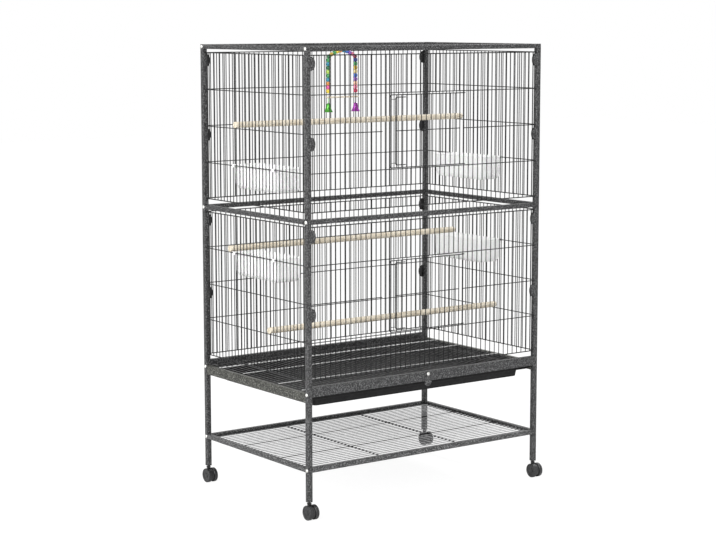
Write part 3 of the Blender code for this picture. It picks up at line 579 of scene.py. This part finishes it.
for tier, floor in FLOORS.items():
    low, high = floor + ROW + DOOR_FOOT, floor + 3 * ROW - DOOR_HEAD
    door = merged(f"door_{tier}", door_meshes(low, high, floor + 2 * ROW))
    stand(f"wire_door_{tier}", door, wire_paint, f"door_{tier}", [f"door_{tier}"], 50)


# Door latches. A wire bent to a long C behind the door's free side, with two thin tongues that
# catch behind the opening's end wire: the user slides it with a fingertip.
LATCH_BEND = 0.005
LATCH_LEG = 0.010
LATCH_SHORT = 0.0005
LATCH_PLAY = 0.0001
TONGUE = 0.0008
TONGUE_IN = 0.0052


def latch_meshes(low, high):
    """The C of the latch: a bar and two legs round two bends, with two short tongues."""
    left = wire_place(DOOR_FIRST + 1)
    bottom, top = low.z + DOOR_WIRE, high.z - DOOR_WIRE
    middle_y = (low.y + high.y) / 2 + LATCH_PLAY
    bow = c_shape(high.x - LATCH_SHORT, left, middle_y, bottom, top, LATCH_BEND, LATCH_LEG)
    tongue_y = high.y - TONGUE - LATCH_PLAY
    heights = (bottom + TONGUE_IN, top - TONGUE_IN)
    starts = [(low.x, tongue_y, z) for z in heights]
    ends = [(left, tongue_y, z) for z in heights]
    return [bent_wire("latch_bow", bow, DOOR_WIRE, Y_AXIS),
            straight_wires("tongues", starts, ends, [TONGUE, TONGUE])]


for tier in ("upper", "lower"):
    node = f"door_latch_{tier}"
    latch = merged(node, latch_meshes(*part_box(node)))
    stand(f"wire_latch_{tier}", latch, wire_paint, node, [node], 50)


# Droppings tray. One pressed black plastic tub with a level flange all round, a lip in front and
# a ledge behind. It hangs on two black plastic angle guides on the side aprons and slides out
# under the front apron.
TRAY_ROUND = 0.009
TRAY_DEEPER = 0.003
FLANGE_SIDE = 0.0265
FLANGE_END = 0.0083
LIP_FOOT = 0.0052
LIP_BOTTOM = 0.0124
LIP_THICK = 0.0016
LIP_EASE = 0.0012
LIP_SLOPE = 0.0006
END_IN = 0.001
LEDGE_IN = 0.004
LEDGE_BACK = 0.0105


def insets(half_x, half_y, steps):
    """Levels of a tub from steps of (inset, corner radius, height) within one rectangle."""
    return [(half_x - inset, half_y - inset, corner, height) for inset, corner, height in steps]


def tub(name, levels, centre):
    """Rings of rounded rectangles: each level is (half x, half y, corner radius, height)."""
    rings = []
    for half_x, half_y, corner, height in levels:
        flat = rounded_rectangle(half_x, half_y, corner, 8)
        rings.append(np.column_stack([flat + np.array(centre[:2]), np.full(len(flat), height)]))
    return skin(name, np.array(rings))


def midpoint(low, high):
    """The point halfway between two corners of a box."""
    return [(a + b) / 2 for a, b in zip(low, high)]


def lip_strip(half, front, top, bottom):
    """A thin plate across the tray's front, its lower corners eased, with its ends drawn in a little."""
    ends = []
    for x, ease in ((-half, LIP_EASE), (END_IN - half, 0), (half - END_IN, 0), (half, LIP_EASE)):
        foot = bottom + ease
        edge = [(0, top), (LIP_THICK, top), (LIP_THICK, foot + LIP_SLOPE), (LIP_THICK / 2, foot),
                (0, foot + LIP_SLOPE)]
        ends.append([(x, front + y, z) for y, z in edge])
    return skin("lip", np.array(ends))


tray_plastic = black_plastic("black_tray_plastic", (0.0035, 0.0035, 0.004), (0.009, 0.009, 0.0095), 0.50)
tray_plastic.node_tree.nodes["Principled BSDF"].inputs["Specular IOR Level"].default_value = 0.20
tray_low, tray_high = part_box("tray")
tray_low.z -= TRAY_DEEPER
bottom, top = tray_low.z, tray_high.z
rim_x, rim_y = (tray_high.x - tray_low.x) / 2, (tray_high.y - tray_low.y) / 2
tub_x, tub_y = rim_x - FLANGE_SIDE, rim_y - FLANGE_END
outside = [(0.0064, bottom), (0.0050, bottom + 0.0004), (0.0040, bottom + 0.0018), (0, top - 0.0024)]
flange = [(0.0004, top - 0.0024), (0, top - 0.0018), (0, top - 0.0006), (0.0006, top)]
inside = [(0.0014, top), (0.0024, top - 0.001), (0.0062, bottom + 0.0045), (0.0084, bottom + 0.0024)]
tray_levels = []
for half_x, half_y, steps in ((tub_x, tub_y, outside), (rim_x, rim_y, flange), (tub_x, tub_y, inside)):
    tray_levels += insets(half_x, half_y, [(inset, TRAY_ROUND, height) for inset, height in steps])
ledge_front, ledge_back = tray_high.y - LEDGE_IN, tray_high.y + LEDGE_BACK
ledge_foot, ledge_top = top - 0.0023, top - 0.0001
ledge = [[(x, ledge_front, ledge_foot), (x, ledge_back, ledge_foot), (x, ledge_back, ledge_top),
          (x, ledge_front, ledge_top)] for x in (-rim_x + END_IN, rim_x - END_IN)]
tray_shell = merged("tray", [
    tub("tub", tray_levels, midpoint(tray_low, tray_high)), skin("ledge", np.array(ledge)),
    lip_strip(rim_x - 0.0130, tray_low.y + 0.0004, top - 0.0016, top - LIP_FOOT - 0.0018),
    lip_strip(rim_x - 0.0030, tray_low.y + 0.0002, top - LIP_FOOT, top - LIP_BOTTOM)])
stand("moulded_tray", tray_shell, tray_plastic, "tray", ["tray"])
for side in ("left", "right"):
    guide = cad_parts[f"tray_guide_{side}"]
    guide.data.materials.clear()
    guide.data.materials.append(tray_plastic)


# Tray latch. A teardrop tab in the frame's own coat, which turns on one bright pan head screw in
# the front apron and hangs down in front of the tray.
TAB_SPREAD = 1.22
TAB_EASE = 0.0002
tab_low, tab_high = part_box("tray_latch")
screw_low, screw_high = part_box("tray_latch_screw")
screw_z = (screw_low.z + screw_high.z) / 2


def teardrop(low, high, centre_z):
    """A round top and a larger round end, joined by the lines that touch both, carried through in Y."""
    end = (high.x - low.x) / 2 * TAB_SPREAD
    top = high.z - centre_z
    lean = math.degrees(math.asin((end - top) / (centre_z - low.z - end)))
    upper = arc((0, 0, centre_z), X_AXIS, Z_AXIS, lean, 180 - lean, top, 25)
    lower = arc((0, 0, low.z + end), X_AXIS, Z_AXIS, 180 - lean, 360 + lean, end, 29)
    outline = np.concatenate([upper, lower])
    middle = outline.mean(axis=0)
    rings = []
    for y, share in ((high.y, 0.96), (high.y - TAB_EASE, 1.0), (low.y + TAB_EASE, 1.0), (low.y, 0.96)):
        ring = middle + (outline - middle) * share
        ring[:, 1] = y
        rings.append(ring)
    return skin("tab", np.array(rings))


stand("swivel_tab", teardrop(tab_low, tab_high, screw_z), frame_coat, "tray_latch",
      ["tray_latch"])
head_radius = (screw_high.x - screw_low.x) / 2
head_profile = [(head_radius * 0.06, 0.0), (head_radius * 0.5, 0.00015), (head_radius * 0.85, 0.0007),
                (head_radius, 0.0016), (head_radius, 0.0022), (0.0019, 0.0022), (0.0019, 0.012)]
stand("latch_screw", turned("screw", head_profile, (0, screw_low.y, screw_z), Y_AXIS, 28), zinc, "cage",
      ["tray_latch_screw"])


# Feeder cups. Thin moulded cups in milky white plastic, long and narrow, with a stepped foot, a
# rolled rim and two flat hooks that go over the side panel's cross wire.
CUP_REACH = 0.081
CUP_HEIGHT = 0.066
CUP_WALL = 0.0022
HOOK_WIRES = (-6, 6)
HOOK_HALF = 0.004
HOOK_THICK = 0.0020


def milky_plastic():
    """Translucent white plastic with a faint green cast and soft moulding clouds."""
    material, tree, shader, place = finish_base("milky_cup_plastic", (0.92, 0.94, 0.93), 0.30)
    shade_between(tree, shader, mottle(tree, place, 25),
                  [(0.3, (0.94, 0.95, 0.945)), (0.7, (0.97, 0.975, 0.97))])
    gloss_between(tree, shader, mottle(tree, place, 120), 0.24, 0.38)
    relief(tree, shader, mottle(tree, place, 900, 2.0), 0.00005)
    shader.inputs["Subsurface Weight"].default_value = 0.30
    shader.inputs["Subsurface Radius"].default_value = (0.01, 0.012, 0.01)
    shader.inputs["Subsurface Scale"].default_value = 0.6
    return material


def cup_meshes(low, high, side):
    """The cup's shell through its levels, then its hooks bent over the wire."""
    back = side * (POST_X - FINE - GAP)
    centre = (back - side * CUP_REACH / 2, (low.y + high.y) / 2)
    base, rim = low.z, low.z + CUP_HEIGHT
    levels = insets(CUP_REACH / 2, (high.y - low.y) / 2, [
        (0.0100, 0.0040, base), (0.0078, 0.0050, base + 0.0012), (0.0030, 0.0060, base + 0.0095),
        (0.0020, 0.0060, base + 0.0125), (0.0014, 0.0060, rim - 0.0030), (0, 0.0070, rim - 0.0026),
        (0, 0.0070, rim - 0.0004), (0.0004, 0.0065, rim), (0.0026, 0.0055, rim),
        (0.0032, 0.0050, rim - 0.0008), (0.0042, 0.0045, base + 0.0130), (0.0052, 0.0045, base + 0.0105),
        (0.0105, 0.0040, base + CUP_WALL)])
    meshes = [tub("cup_shell", levels, centre)]
    within, beyond = POST_X - FINE, POST_X + CROSS_OUT + FINE
    over = rim - 0.0035 + FINE + GAP
    strap = np.array([(within - 0.0020, over - 0.0014), (within - 0.0008, over + HOOK_THICK),
                      (beyond + 0.0008, over + HOOK_THICK), (beyond + 0.0022, over + 0.0011),
                      (beyond + 0.0023, over - 0.0060), (beyond + GAP, over - 0.0060),
                      (beyond + GAP, over - 0.0001), (within + 0.0006, over - 0.0001),
                      (within - 0.0001, over - 0.0014)])
    for number in HOOK_WIRES:
        y = CENTRE_Y + number * SIDE_PITCH
        rings = [np.column_stack([side * strap[:, 0], np.full(len(strap), y + edge), strap[:, 1]])
                 for edge in (-HOOK_HALF, HOOK_HALF)]
        meshes.append(skin("cup_hook", np.array(rings)))
    return meshes


cup_plastic = milky_plastic()
for side, name in ((-1, "left"), (1, "right")):
    for tier in ("upper", "lower"):
        node = f"feeder_cup_{name}_{tier}"
        cup = merged(node, cup_meshes(*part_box(node), side))
        stand(f"moulded_cup_{name}_{tier}", cup, cup_plastic, node, [node], 40)


# Perches. Plain turned pine dowels, sawn off square, with a saw slot in each end that straddles an
# upright wire of the side panel while the dowel rests on the cross wire.
def pine_finish():
    """Pale pine: fine grain drawn out along X, in three tones."""
    material, tree, shader, place = finish_base("pale_pine", (0.72, 0.60, 0.43), 0.55)
    grain = mottle(tree, place, 420, 5.0, (0.06, 1.0, 1.0))
    shade_between(tree, shader, grain,
                  [(0.30, (0.57, 0.47, 0.34)), (0.48, (0.71, 0.64, 0.51)), (0.70, (0.77, 0.71, 0.61))])
    gloss_between(tree, shader, grain, 0.46, 0.64)
    relief(tree, shader, grain, 0.00012)
    return material


pine = pine_finish()
PERCH_SLOT = 0.0014
PERCH_EASE = 0.0005


def slotted_dowel(name, low, high):
    """A round dowel along X with eased ends, less a narrow upright slot in each end."""
    centre_y, centre_z = midpoint(low, high)[1:]
    radius = (high.z - low.z) / 2
    length = high.x - low.x
    profile = [(radius - PERCH_EASE, 0), (radius, PERCH_EASE), (radius, length - PERCH_EASE),
               (radius - PERCH_EASE, length)]
    dowel = bpy.data.objects.new(name, turned(name, profile, (low.x, centre_y, centre_z), X_AXIS, 40))
    bpy.context.scene.collection.objects.link(dowel)
    slot_in = POST_X - PERCH_SLOT
    cut_x = np.array([slot_in, slot_in, length, length])
    cut_y = centre_y + np.array([-PERCH_SLOT, PERCH_SLOT, PERCH_SLOT, -PERCH_SLOT])
    saws = []
    for side in (-1, 1):
        rings = [np.column_stack([side * cut_x, cut_y, np.full(4, centre_z + rise)])
                 for rise in (-2 * radius, 2 * radius)]
        saws.append(skin("saw_cut", np.array(rings)))
    cutter = bpy.data.objects.new("saw_cuts", merged("saw_cuts", saws))
    bpy.context.scene.collection.objects.link(cutter)
    work = bmesh.new()
    work.from_mesh(cutter.data)
    bmesh.ops.recalc_face_normals(work, faces=work.faces)
    work.to_mesh(cutter.data)
    work.free()
    step = dowel.modifiers.new("slots", "BOOLEAN")
    step.object = cutter
    step.operation = "DIFFERENCE"
    step.solver = "EXACT"
    mesh = bpy.data.meshes.new_from_object(dowel.evaluated_get(bpy.context.evaluated_depsgraph_get()))
    bpy.data.objects.remove(dowel)
    bpy.data.objects.remove(cutter)
    return mesh


for name in ("perch_high", "perch_middle", "perch_low"):
    stand(f"pine_{name}", slotted_dowel(name, *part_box(name)), pine, "cage", [name], 40)


# Bead swing. Bright wooden and plastic beads on one string, looped over the top with a small wire
# hook on the roof wire, tied at the foot to a thin wooden bar with a little bell below each side.
BEAD = 0.0056
BEAD_STEP = 0.0109
BEAD_FOOT = 0.0085
BEAD_REACH = math.radians(80)
SWING_HALF = 0.0483
SWING_RIGHT = 0.0445
SWING_TOP = 0.1259
HOOK_WIRE = 0.0007
HOOK_RING = 0.0029
HOOK_DROP = 0.0088
STRING = 0.0009
bar_low, bar_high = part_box("swing_bar")
SWING_X = (bar_low.x + bar_high.x) / 2
FOOT_Z = bar_high.z + GAP
BEAD_COLOURS = {
    "yellow": (0.80, 0.62, 0.06), "magenta": (0.72, 0.10, 0.33), "orange": (0.62, 0.25, 0.06),
    "teal": (0.03, 0.25, 0.36), "green": (0.06, 0.32, 0.10), "lime": (0.40, 0.60, 0.10),
    "dark_green": (0.02, 0.14, 0.05), "gold": (0.55, 0.38, 0.05), "maroon": (0.25, 0.03, 0.07),
    "rose": (0.60, 0.16, 0.25), "navy": (0.03, 0.06, 0.30), "pale_gold": (0.75, 0.60, 0.25),
    "blue": (0.06, 0.16, 0.55), "violet": (0.30, 0.12, 0.50), "peach": (0.85, 0.50, 0.35),
    "pink": (0.85, 0.25, 0.40), "crimson": (0.60, 0.03, 0.10)}
BEAD_LEFT = ("yellow", "magenta", "orange", "teal", "green", "lime", "dark_green", "teal", "green")
BEAD_ARCH = ("dark_green", "gold", "green", "yellow", "orange", "teal", "blue", "violet", "rose", "maroon")
BEAD_RIGHT = ("navy", "green", "gold", "pale_gold", "blue", "violet", "peach", "pink", "crimson")
BEAD_ORDER = BEAD_LEFT + BEAD_ARCH + BEAD_RIGHT


def swing_route():
    """The string: up the left, over an arch where |x/a|^1.4 + |z/b|^1.4 = 1, and down the right."""
    shoulder = BEAD_FOOT + len(BEAD_LEFT) * BEAD_STEP
    angle = np.linspace(math.pi, 0, 241)
    reach = np.where(angle > math.pi / 2, SWING_HALF, SWING_RIGHT)
    x = reach * np.sign(np.cos(angle)) * np.abs(np.cos(angle)) ** (2 / 1.4)
    z = shoulder + (SWING_TOP - shoulder) * np.sin(angle).clip(0) ** (2 / 1.4)
    flat = np.concatenate([[(-SWING_HALF, 0)], np.stack([x, z], axis=1), [(SWING_RIGHT, 0)]])
    run = np.concatenate([[0], np.cumsum(np.linalg.norm(np.diff(flat, axis=0), axis=1))])
    even = np.linspace(BEAD_FOOT, run[-1] - BEAD_FOOT, 2 * len(BEAD_ORDER) + 1)
    stations = np.concatenate([[0], even, [run[-1]]])
    return np.stack([SWING_X + np.interp(stations, run, flat[:, 0]), np.full(len(stations), CENTRE_Y),
                     FOOT_Z + np.interp(stations, run, flat[:, 1])], axis=1)


def bead_mesh(route):
    """A rounded barrel at every second point: radius x cos^0.6 round the string, radius x sin along it."""
    along = unit(np.gradient(route, axis=0))[2:-1:2]
    latitude = np.linspace(-1, 1, 13) * BEAD_REACH
    swell = BEAD * np.abs(np.cos(latitude)) ** 0.6
    length = BEAD * np.sin(latitude) / math.sin(BEAD_REACH) * 0.98
    ring = circle(np.cross(along, Y_AXIS), Y_AXIS, 20)
    points = (route[2:-1:2, None, None] + swell[None, :, None, None] * ring[:, None]
              + length[None, :, None, None] * along[:, None, None])
    mesh = skin("beads", points)
    colours = np.array([(*BEAD_COLOURS[name], 1.0) for name in BEAD_ORDER])
    shades = np.repeat(colours, len(mesh.vertices) // len(colours), axis=0).astype(np.float32)
    layer = mesh.color_attributes.new("bead_colour", "FLOAT_COLOR", "POINT")
    layer.data.foreach_set("color", shades.ravel())
    return mesh


def bead_finish():
    """Glossy paint in each bead's own colour, faintly mottled, with uneven gloss."""
    material, tree, shader, place = finish_base("bead_paint", (0.6, 0.2, 0.2), 0.28)
    own = add_node(tree, "Attribute")
    own.attribute_name = "bead_colour"
    shift = add_node(tree, "HueSaturation")
    spread = add_node(tree, "MapRange", [("To Min", 0.75), ("To Max", 1.25)])
    tree.links.new(mottle(tree, place, 350), spread.inputs["Value"])
    tree.links.new(spread.outputs["Result"], shift.inputs["Value"])
    tree.links.new(own.outputs["Color"], shift.inputs["Color"])
    tree.links.new(shift.outputs["Color"], shader.inputs["Base Color"])
    gloss_between(tree, shader, mottle(tree, place, 500), 0.20, 0.38)
    relief(tree, shader, mottle(tree, place, 1400, 2.0), 0.00005)
    return material


route = swing_route()
stand("swing_bead_string", bead_mesh(route), bead_finish(), "swing", ["swing_beads"], 60)
hook_z = ROOF_Z - CROSS_OUT
hook_ring = arc((SWING_X, CENTRE_Y, hook_z), Y_AXIS, Z_AXIS, -60, 270, HOOK_RING, 26)
stem_top = (SWING_X, CENTRE_Y, hook_z - HOOK_RING)
stem_foot = (SWING_X, CENTRE_Y, hook_z - HOOK_DROP)
hook_meshes = [bent_wire("hook_ring", hook_ring, HOOK_WIRE, X_AXIS),
               straight_wires("hook_stem", [stem_top], [stem_foot], [HOOK_WIRE]),
               bent_wire("string", route, STRING, Y_AXIS)]
stand("swing_hook", merged("swing_hook", hook_meshes), zinc, "swing", (), 60)

bar_radius = (bar_high.z - bar_low.z) / 2
bar_length = bar_high.x - bar_low.x
BAR_EASE = 0.0006
bar_profile = [(bar_radius * 0.7, 0), (bar_radius, BAR_EASE), (bar_radius, bar_length - BAR_EASE),
               (bar_radius * 0.7, bar_length)]
bar = turned("bar", bar_profile, (bar_low.x, CENTRE_Y, (bar_low.z + bar_high.z) / 2), X_AXIS, 24)
stand("swing_perch_bar", bar, pine, "swing", ["swing_bar"], 50)

BELL_HEIGHT = 0.0240
BELL_SHOULDER = 0.0030
BELL_WALL = 0.0011
BELL_LIP = 0.0002
BELL_STEM = 0.0010


def enamel(name, dark, light):
    """Glossy enamel on thin pressed steel."""
    material, tree, shader, place = finish_base(name, light, 0.22, 0.55)
    shade_between(tree, shader, mottle(tree, place, 180), [(0.35, dark), (0.7, light)])
    gloss_between(tree, shader, mottle(tree, place, 320), 0.16, 0.32)
    relief(tree, shader, mottle(tree, place, 900, 2.0), 0.00005)
    return material


def bell_mesh(low, high):
    """Down from the stem over the crown, flared by radius x (0.46 + 0.54 t^1.9), and back up inside."""
    radius = (high.x - low.x) / 2
    drop = np.linspace(0, 1, 12)
    flare = radius * (0.46 + 0.54 * drop ** 1.9)
    height = (BELL_HEIGHT - BELL_SHOULDER) * (1 - drop)
    inside = height[::-1] - BELL_LIP
    inside[0] = BELL_LIP
    profile = [(BELL_STEM, high.z - low.z), (BELL_STEM, BELL_HEIGHT + 0.0012), (radius * 0.18, BELL_HEIGHT),
               (radius * 0.34, BELL_HEIGHT - 0.0012), *zip(flare, height),
               *zip(flare[::-1] - BELL_WALL, inside), (radius * 0.1, BELL_HEIGHT - 0.0045)]
    return turned("bell", profile, ((low.x + high.x) / 2, CENTRE_Y, low.z), Z_AXIS, 32)


green_enamel = enamel("green_enamel", (0.03, 0.22, 0.02), (0.12, 0.45, 0.06))
purple_enamel = enamel("purple_enamel", (0.22, 0.02, 0.24), (0.45, 0.08, 0.48))
for side, paint, slot in (("left", green_enamel, "bell_green"), ("right", purple_enamel, "bell_purple")):
    node = f"swing_bell_{side}"
    low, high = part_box(node)
    inward = Vector((SWING_RIGHT - SWING_HALF, 0, 0)) if side == "right" else Vector()
    stand(f"little_bell_{side}", bell_mesh(low + inward, high + inward), paint, "swing", [node], 50)


# Casters. Twin wheel casters in black plastic: two rounded wheels with dished hubs on one axle, a
# round body plate between them, and a collar under the post.
caster_plastic = black_plastic("black_caster_plastic", (0.010, 0.010, 0.0105), (0.026, 0.026, 0.028), 0.40)
WHEEL = 0.0200
WHEEL_OUT = 0.0145
WHEEL_WIDE = 0.0105
TREAD_ROUND = 0.0016
HUB = 0.0031
AXLE = 0.0029
AXLE_HALF = 0.005
PLATE = 0.0170
PLATE_HALF = 0.0030
PLATE_EASE = 0.0004
STEM_HALF = 0.0047
STEM_FOOT = 0.0285
STEM_TOP = 0.0428


def wheel_mesh(centre, side):
    """One wheel: a rounded tread, a raised ring on its face and a dished hub with a domed axle cap."""
    inside = WHEEL_OUT - WHEEL_WIDE
    tread = [(WHEEL - TREAD_ROUND * (1 - np.cos(turn)), WHEEL_OUT - TREAD_ROUND * (1 - np.sin(turn)))
             for turn in np.linspace(0, math.pi / 2, 6)]
    dish = ((0.84, 0), (0.80, 0.0008), (0.55, 0.0016), (0.34, 0.0018), (0.31, 0.0006), (0.24, 0.0002),
            (0.03, 0))
    face = [(WHEEL * share, WHEEL_OUT - depth) for share, depth in dish]
    back = [(HUB, inside), (WHEEL - 0.0012, inside), (WHEEL, inside + 0.0012)]
    return turned("wheel", back + tread + face, centre, side * X_AXIS, 48)


def caster_body(centre_x, pivot_y, axle):
    """A round plate between the wheels that rises into a stem block, with a turned collar on top."""
    angle = np.radians(np.linspace(60, 345, 40))
    stem_y = [pivot_y + STEM_HALF, pivot_y + STEM_HALF, pivot_y - STEM_HALF]
    y = np.append(axle[1] + PLATE * np.cos(angle), stem_y)
    z = np.append(axle[2] + PLATE * np.sin(angle), [STEM_FOOT, STEM_TOP, STEM_TOP])
    eased = PLATE_HALF - PLATE_EASE
    rings = [np.column_stack([np.full(len(y), centre_x + x), y.mean() + (y - y.mean()) * share,
                              z.mean() + (z - z.mean()) * share])
             for x, share in ((-PLATE_HALF, 0.97), (-eased, 1.0), (eased, 1.0), (PLATE_HALF, 0.97))]
    collar = [(0.0062, 0.0405), (0.0065, 0.0408), (0.0065, 0.0424), (0.0060, 0.0430), (STEM_HALF, 0.0436),
              (STEM_HALF, 0.0461)]
    return [skin("plate", np.array(rings)), turned("collar", collar, (centre_x, pivot_y, 0), Z_AXIS, 32)]


for name_y, side_y in (("front", -1), ("back", 1)):
    for name_x in ("left", "right"):
        spot = f"{name_y}_{name_x}"
        axle = np.array(midpoint(*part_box(f"caster_wheels_{spot}")))
        pin = straight_wires("axle", [axle - AXLE_HALF * X_AXIS], [axle + AXLE_HALF * X_AXIS], [AXLE], 20)
        wheels = merged("wheels", [wheel_mesh(axle, -1), wheel_mesh(axle, 1), pin])
        stand(f"twin_wheels_{spot}", wheels, caster_plastic, f"caster_wheels_{spot}",
              [f"caster_wheels_{spot}"])
        body = merged("caster_body", caster_body(axle[0], CENTRE_Y + side_y * POST_Y, axle))
        stand(f"caster_body_{spot}", body, caster_plastic, f"caster_fork_{spot}",
              [f"caster_fork_{spot}"])


# Studio. A white floor that keeps a faint shadow, a white surround, three soft lamps and the camera
# at the photograph's place.
FLOOR_HALF = 14
FLOOR_GLOW = 1.12
GLOW_SHARE = 0.80
SKY_LIGHT = 0.62


def studio_floor():
    """To the camera mostly a white glow, and to everything else a plain matt floor."""
    material = bpy.data.materials.new("studio_floor")
    material.use_nodes = True
    tree = material.node_tree
    tree.nodes.clear()
    matt = add_node(tree, "BsdfDiffuse", [("Color", (0.9, 0.9, 0.9, 1))])
    white = add_node(tree, "Emission", [("Strength", FLOOR_GLOW)])
    seen = add_node(tree, "LightPath")
    share = add_node(tree, "Math", [(1, GLOW_SHARE)])
    share.operation = "MULTIPLY"
    blend = add_node(tree, "MixShader")
    out = add_node(tree, "OutputMaterial")
    tree.links.new(seen.outputs["Is Camera Ray"], share.inputs[0])
    tree.links.new(share.outputs[0], blend.inputs["Fac"])
    tree.links.new(matt.outputs["BSDF"], blend.inputs[1])
    tree.links.new(white.outputs["Emission"], blend.inputs[2])
    tree.links.new(blend.outputs["Shader"], out.inputs["Surface"])
    return material


floor_mesh = bpy.data.meshes.new("floor")
corners = [(x * FLOOR_HALF, y * FLOOR_HALF, 0) for x, y in ((-1, -1), (1, -1), (1, 1), (-1, 1))]
floor_mesh.from_pydata(corners, [], [(0, 1, 2, 3)])
floor_mesh.materials.append(studio_floor())
floor = bpy.data.objects.new("studio_floor", floor_mesh)
bpy.context.scene.collection.objects.link(floor)

world = bpy.data.worlds.new("studio")
world.use_nodes = True
bpy.context.scene.world = world
tree = world.node_tree
sky = tree.nodes["Background"]
sky.inputs["Color"].default_value = (1, 1, 1, 1)
seen = add_node(tree, "LightPath")
bright = add_node(tree, "MapRange", [("To Min", SKY_LIGHT), ("To Max", 1.0)])
white_rays = seen.outputs["Is Camera Ray"]
for other in ("Is Transmission Ray", "Is Glossy Ray"):
    either = add_node(tree, "Math")
    either.operation = "MAXIMUM"
    tree.links.new(white_rays, either.inputs[0])
    tree.links.new(seen.outputs[other], either.inputs[1])
    white_rays = either.outputs[0]
tree.links.new(white_rays, bright.inputs["Value"])
tree.links.new(bright.outputs["Result"], sky.inputs["Strength"])


def lamp(name, place, aim, size, power):
    """A square soft lamp at a place, turned to face its aim."""
    light = bpy.data.lights.new(name, "AREA")
    light.shape = "SQUARE"
    light.size = size
    light.energy = power
    item = bpy.data.objects.new(name, light)
    bpy.context.scene.collection.objects.link(item)
    item.location = place
    item.rotation_euler = (Vector(aim) - Vector(place)).to_track_quat("-Z", "Y").to_euler()


lamp("key_lamp", (-3.4, -1.7, 2.6), (0, 0, 0.6), 2.2, 145)
lamp("fill_lamp", (-1.5, -3.2, 2.0), (0, 0, 0.6), 2.0, 27)
lamp("top_lamp", (2.2, 0.3, 3.6), (0, 0, 0.5), 0.6, 55)

CAMERA_PLACE = (-3.1029, -4.1810 + CENTRE_Y, 1.3145)
CAMERA_YAW = math.radians(36.167)
CAMERA_PITCH = math.radians(7.741)
CAMERA_ROLL = math.radians(0.051)
FOCAL_PIXELS = 1850.45
PHOTO_WIDTH = 716
SENSOR = 36
camera_data = bpy.data.cameras.new("camera")
camera_data.sensor_width = SENSOR
camera_data.lens = FOCAL_PIXELS * SENSOR / PHOTO_WIDTH
camera = bpy.data.objects.new("camera", camera_data)
bpy.context.scene.collection.objects.link(camera)
camera.location = CAMERA_PLACE
camera.rotation_euler = (math.pi / 2 - CAMERA_PITCH, CAMERA_ROLL, -CAMERA_YAW)
bpy.context.scene.camera = camera
bpy.context.scene.view_settings.view_transform = "Standard"
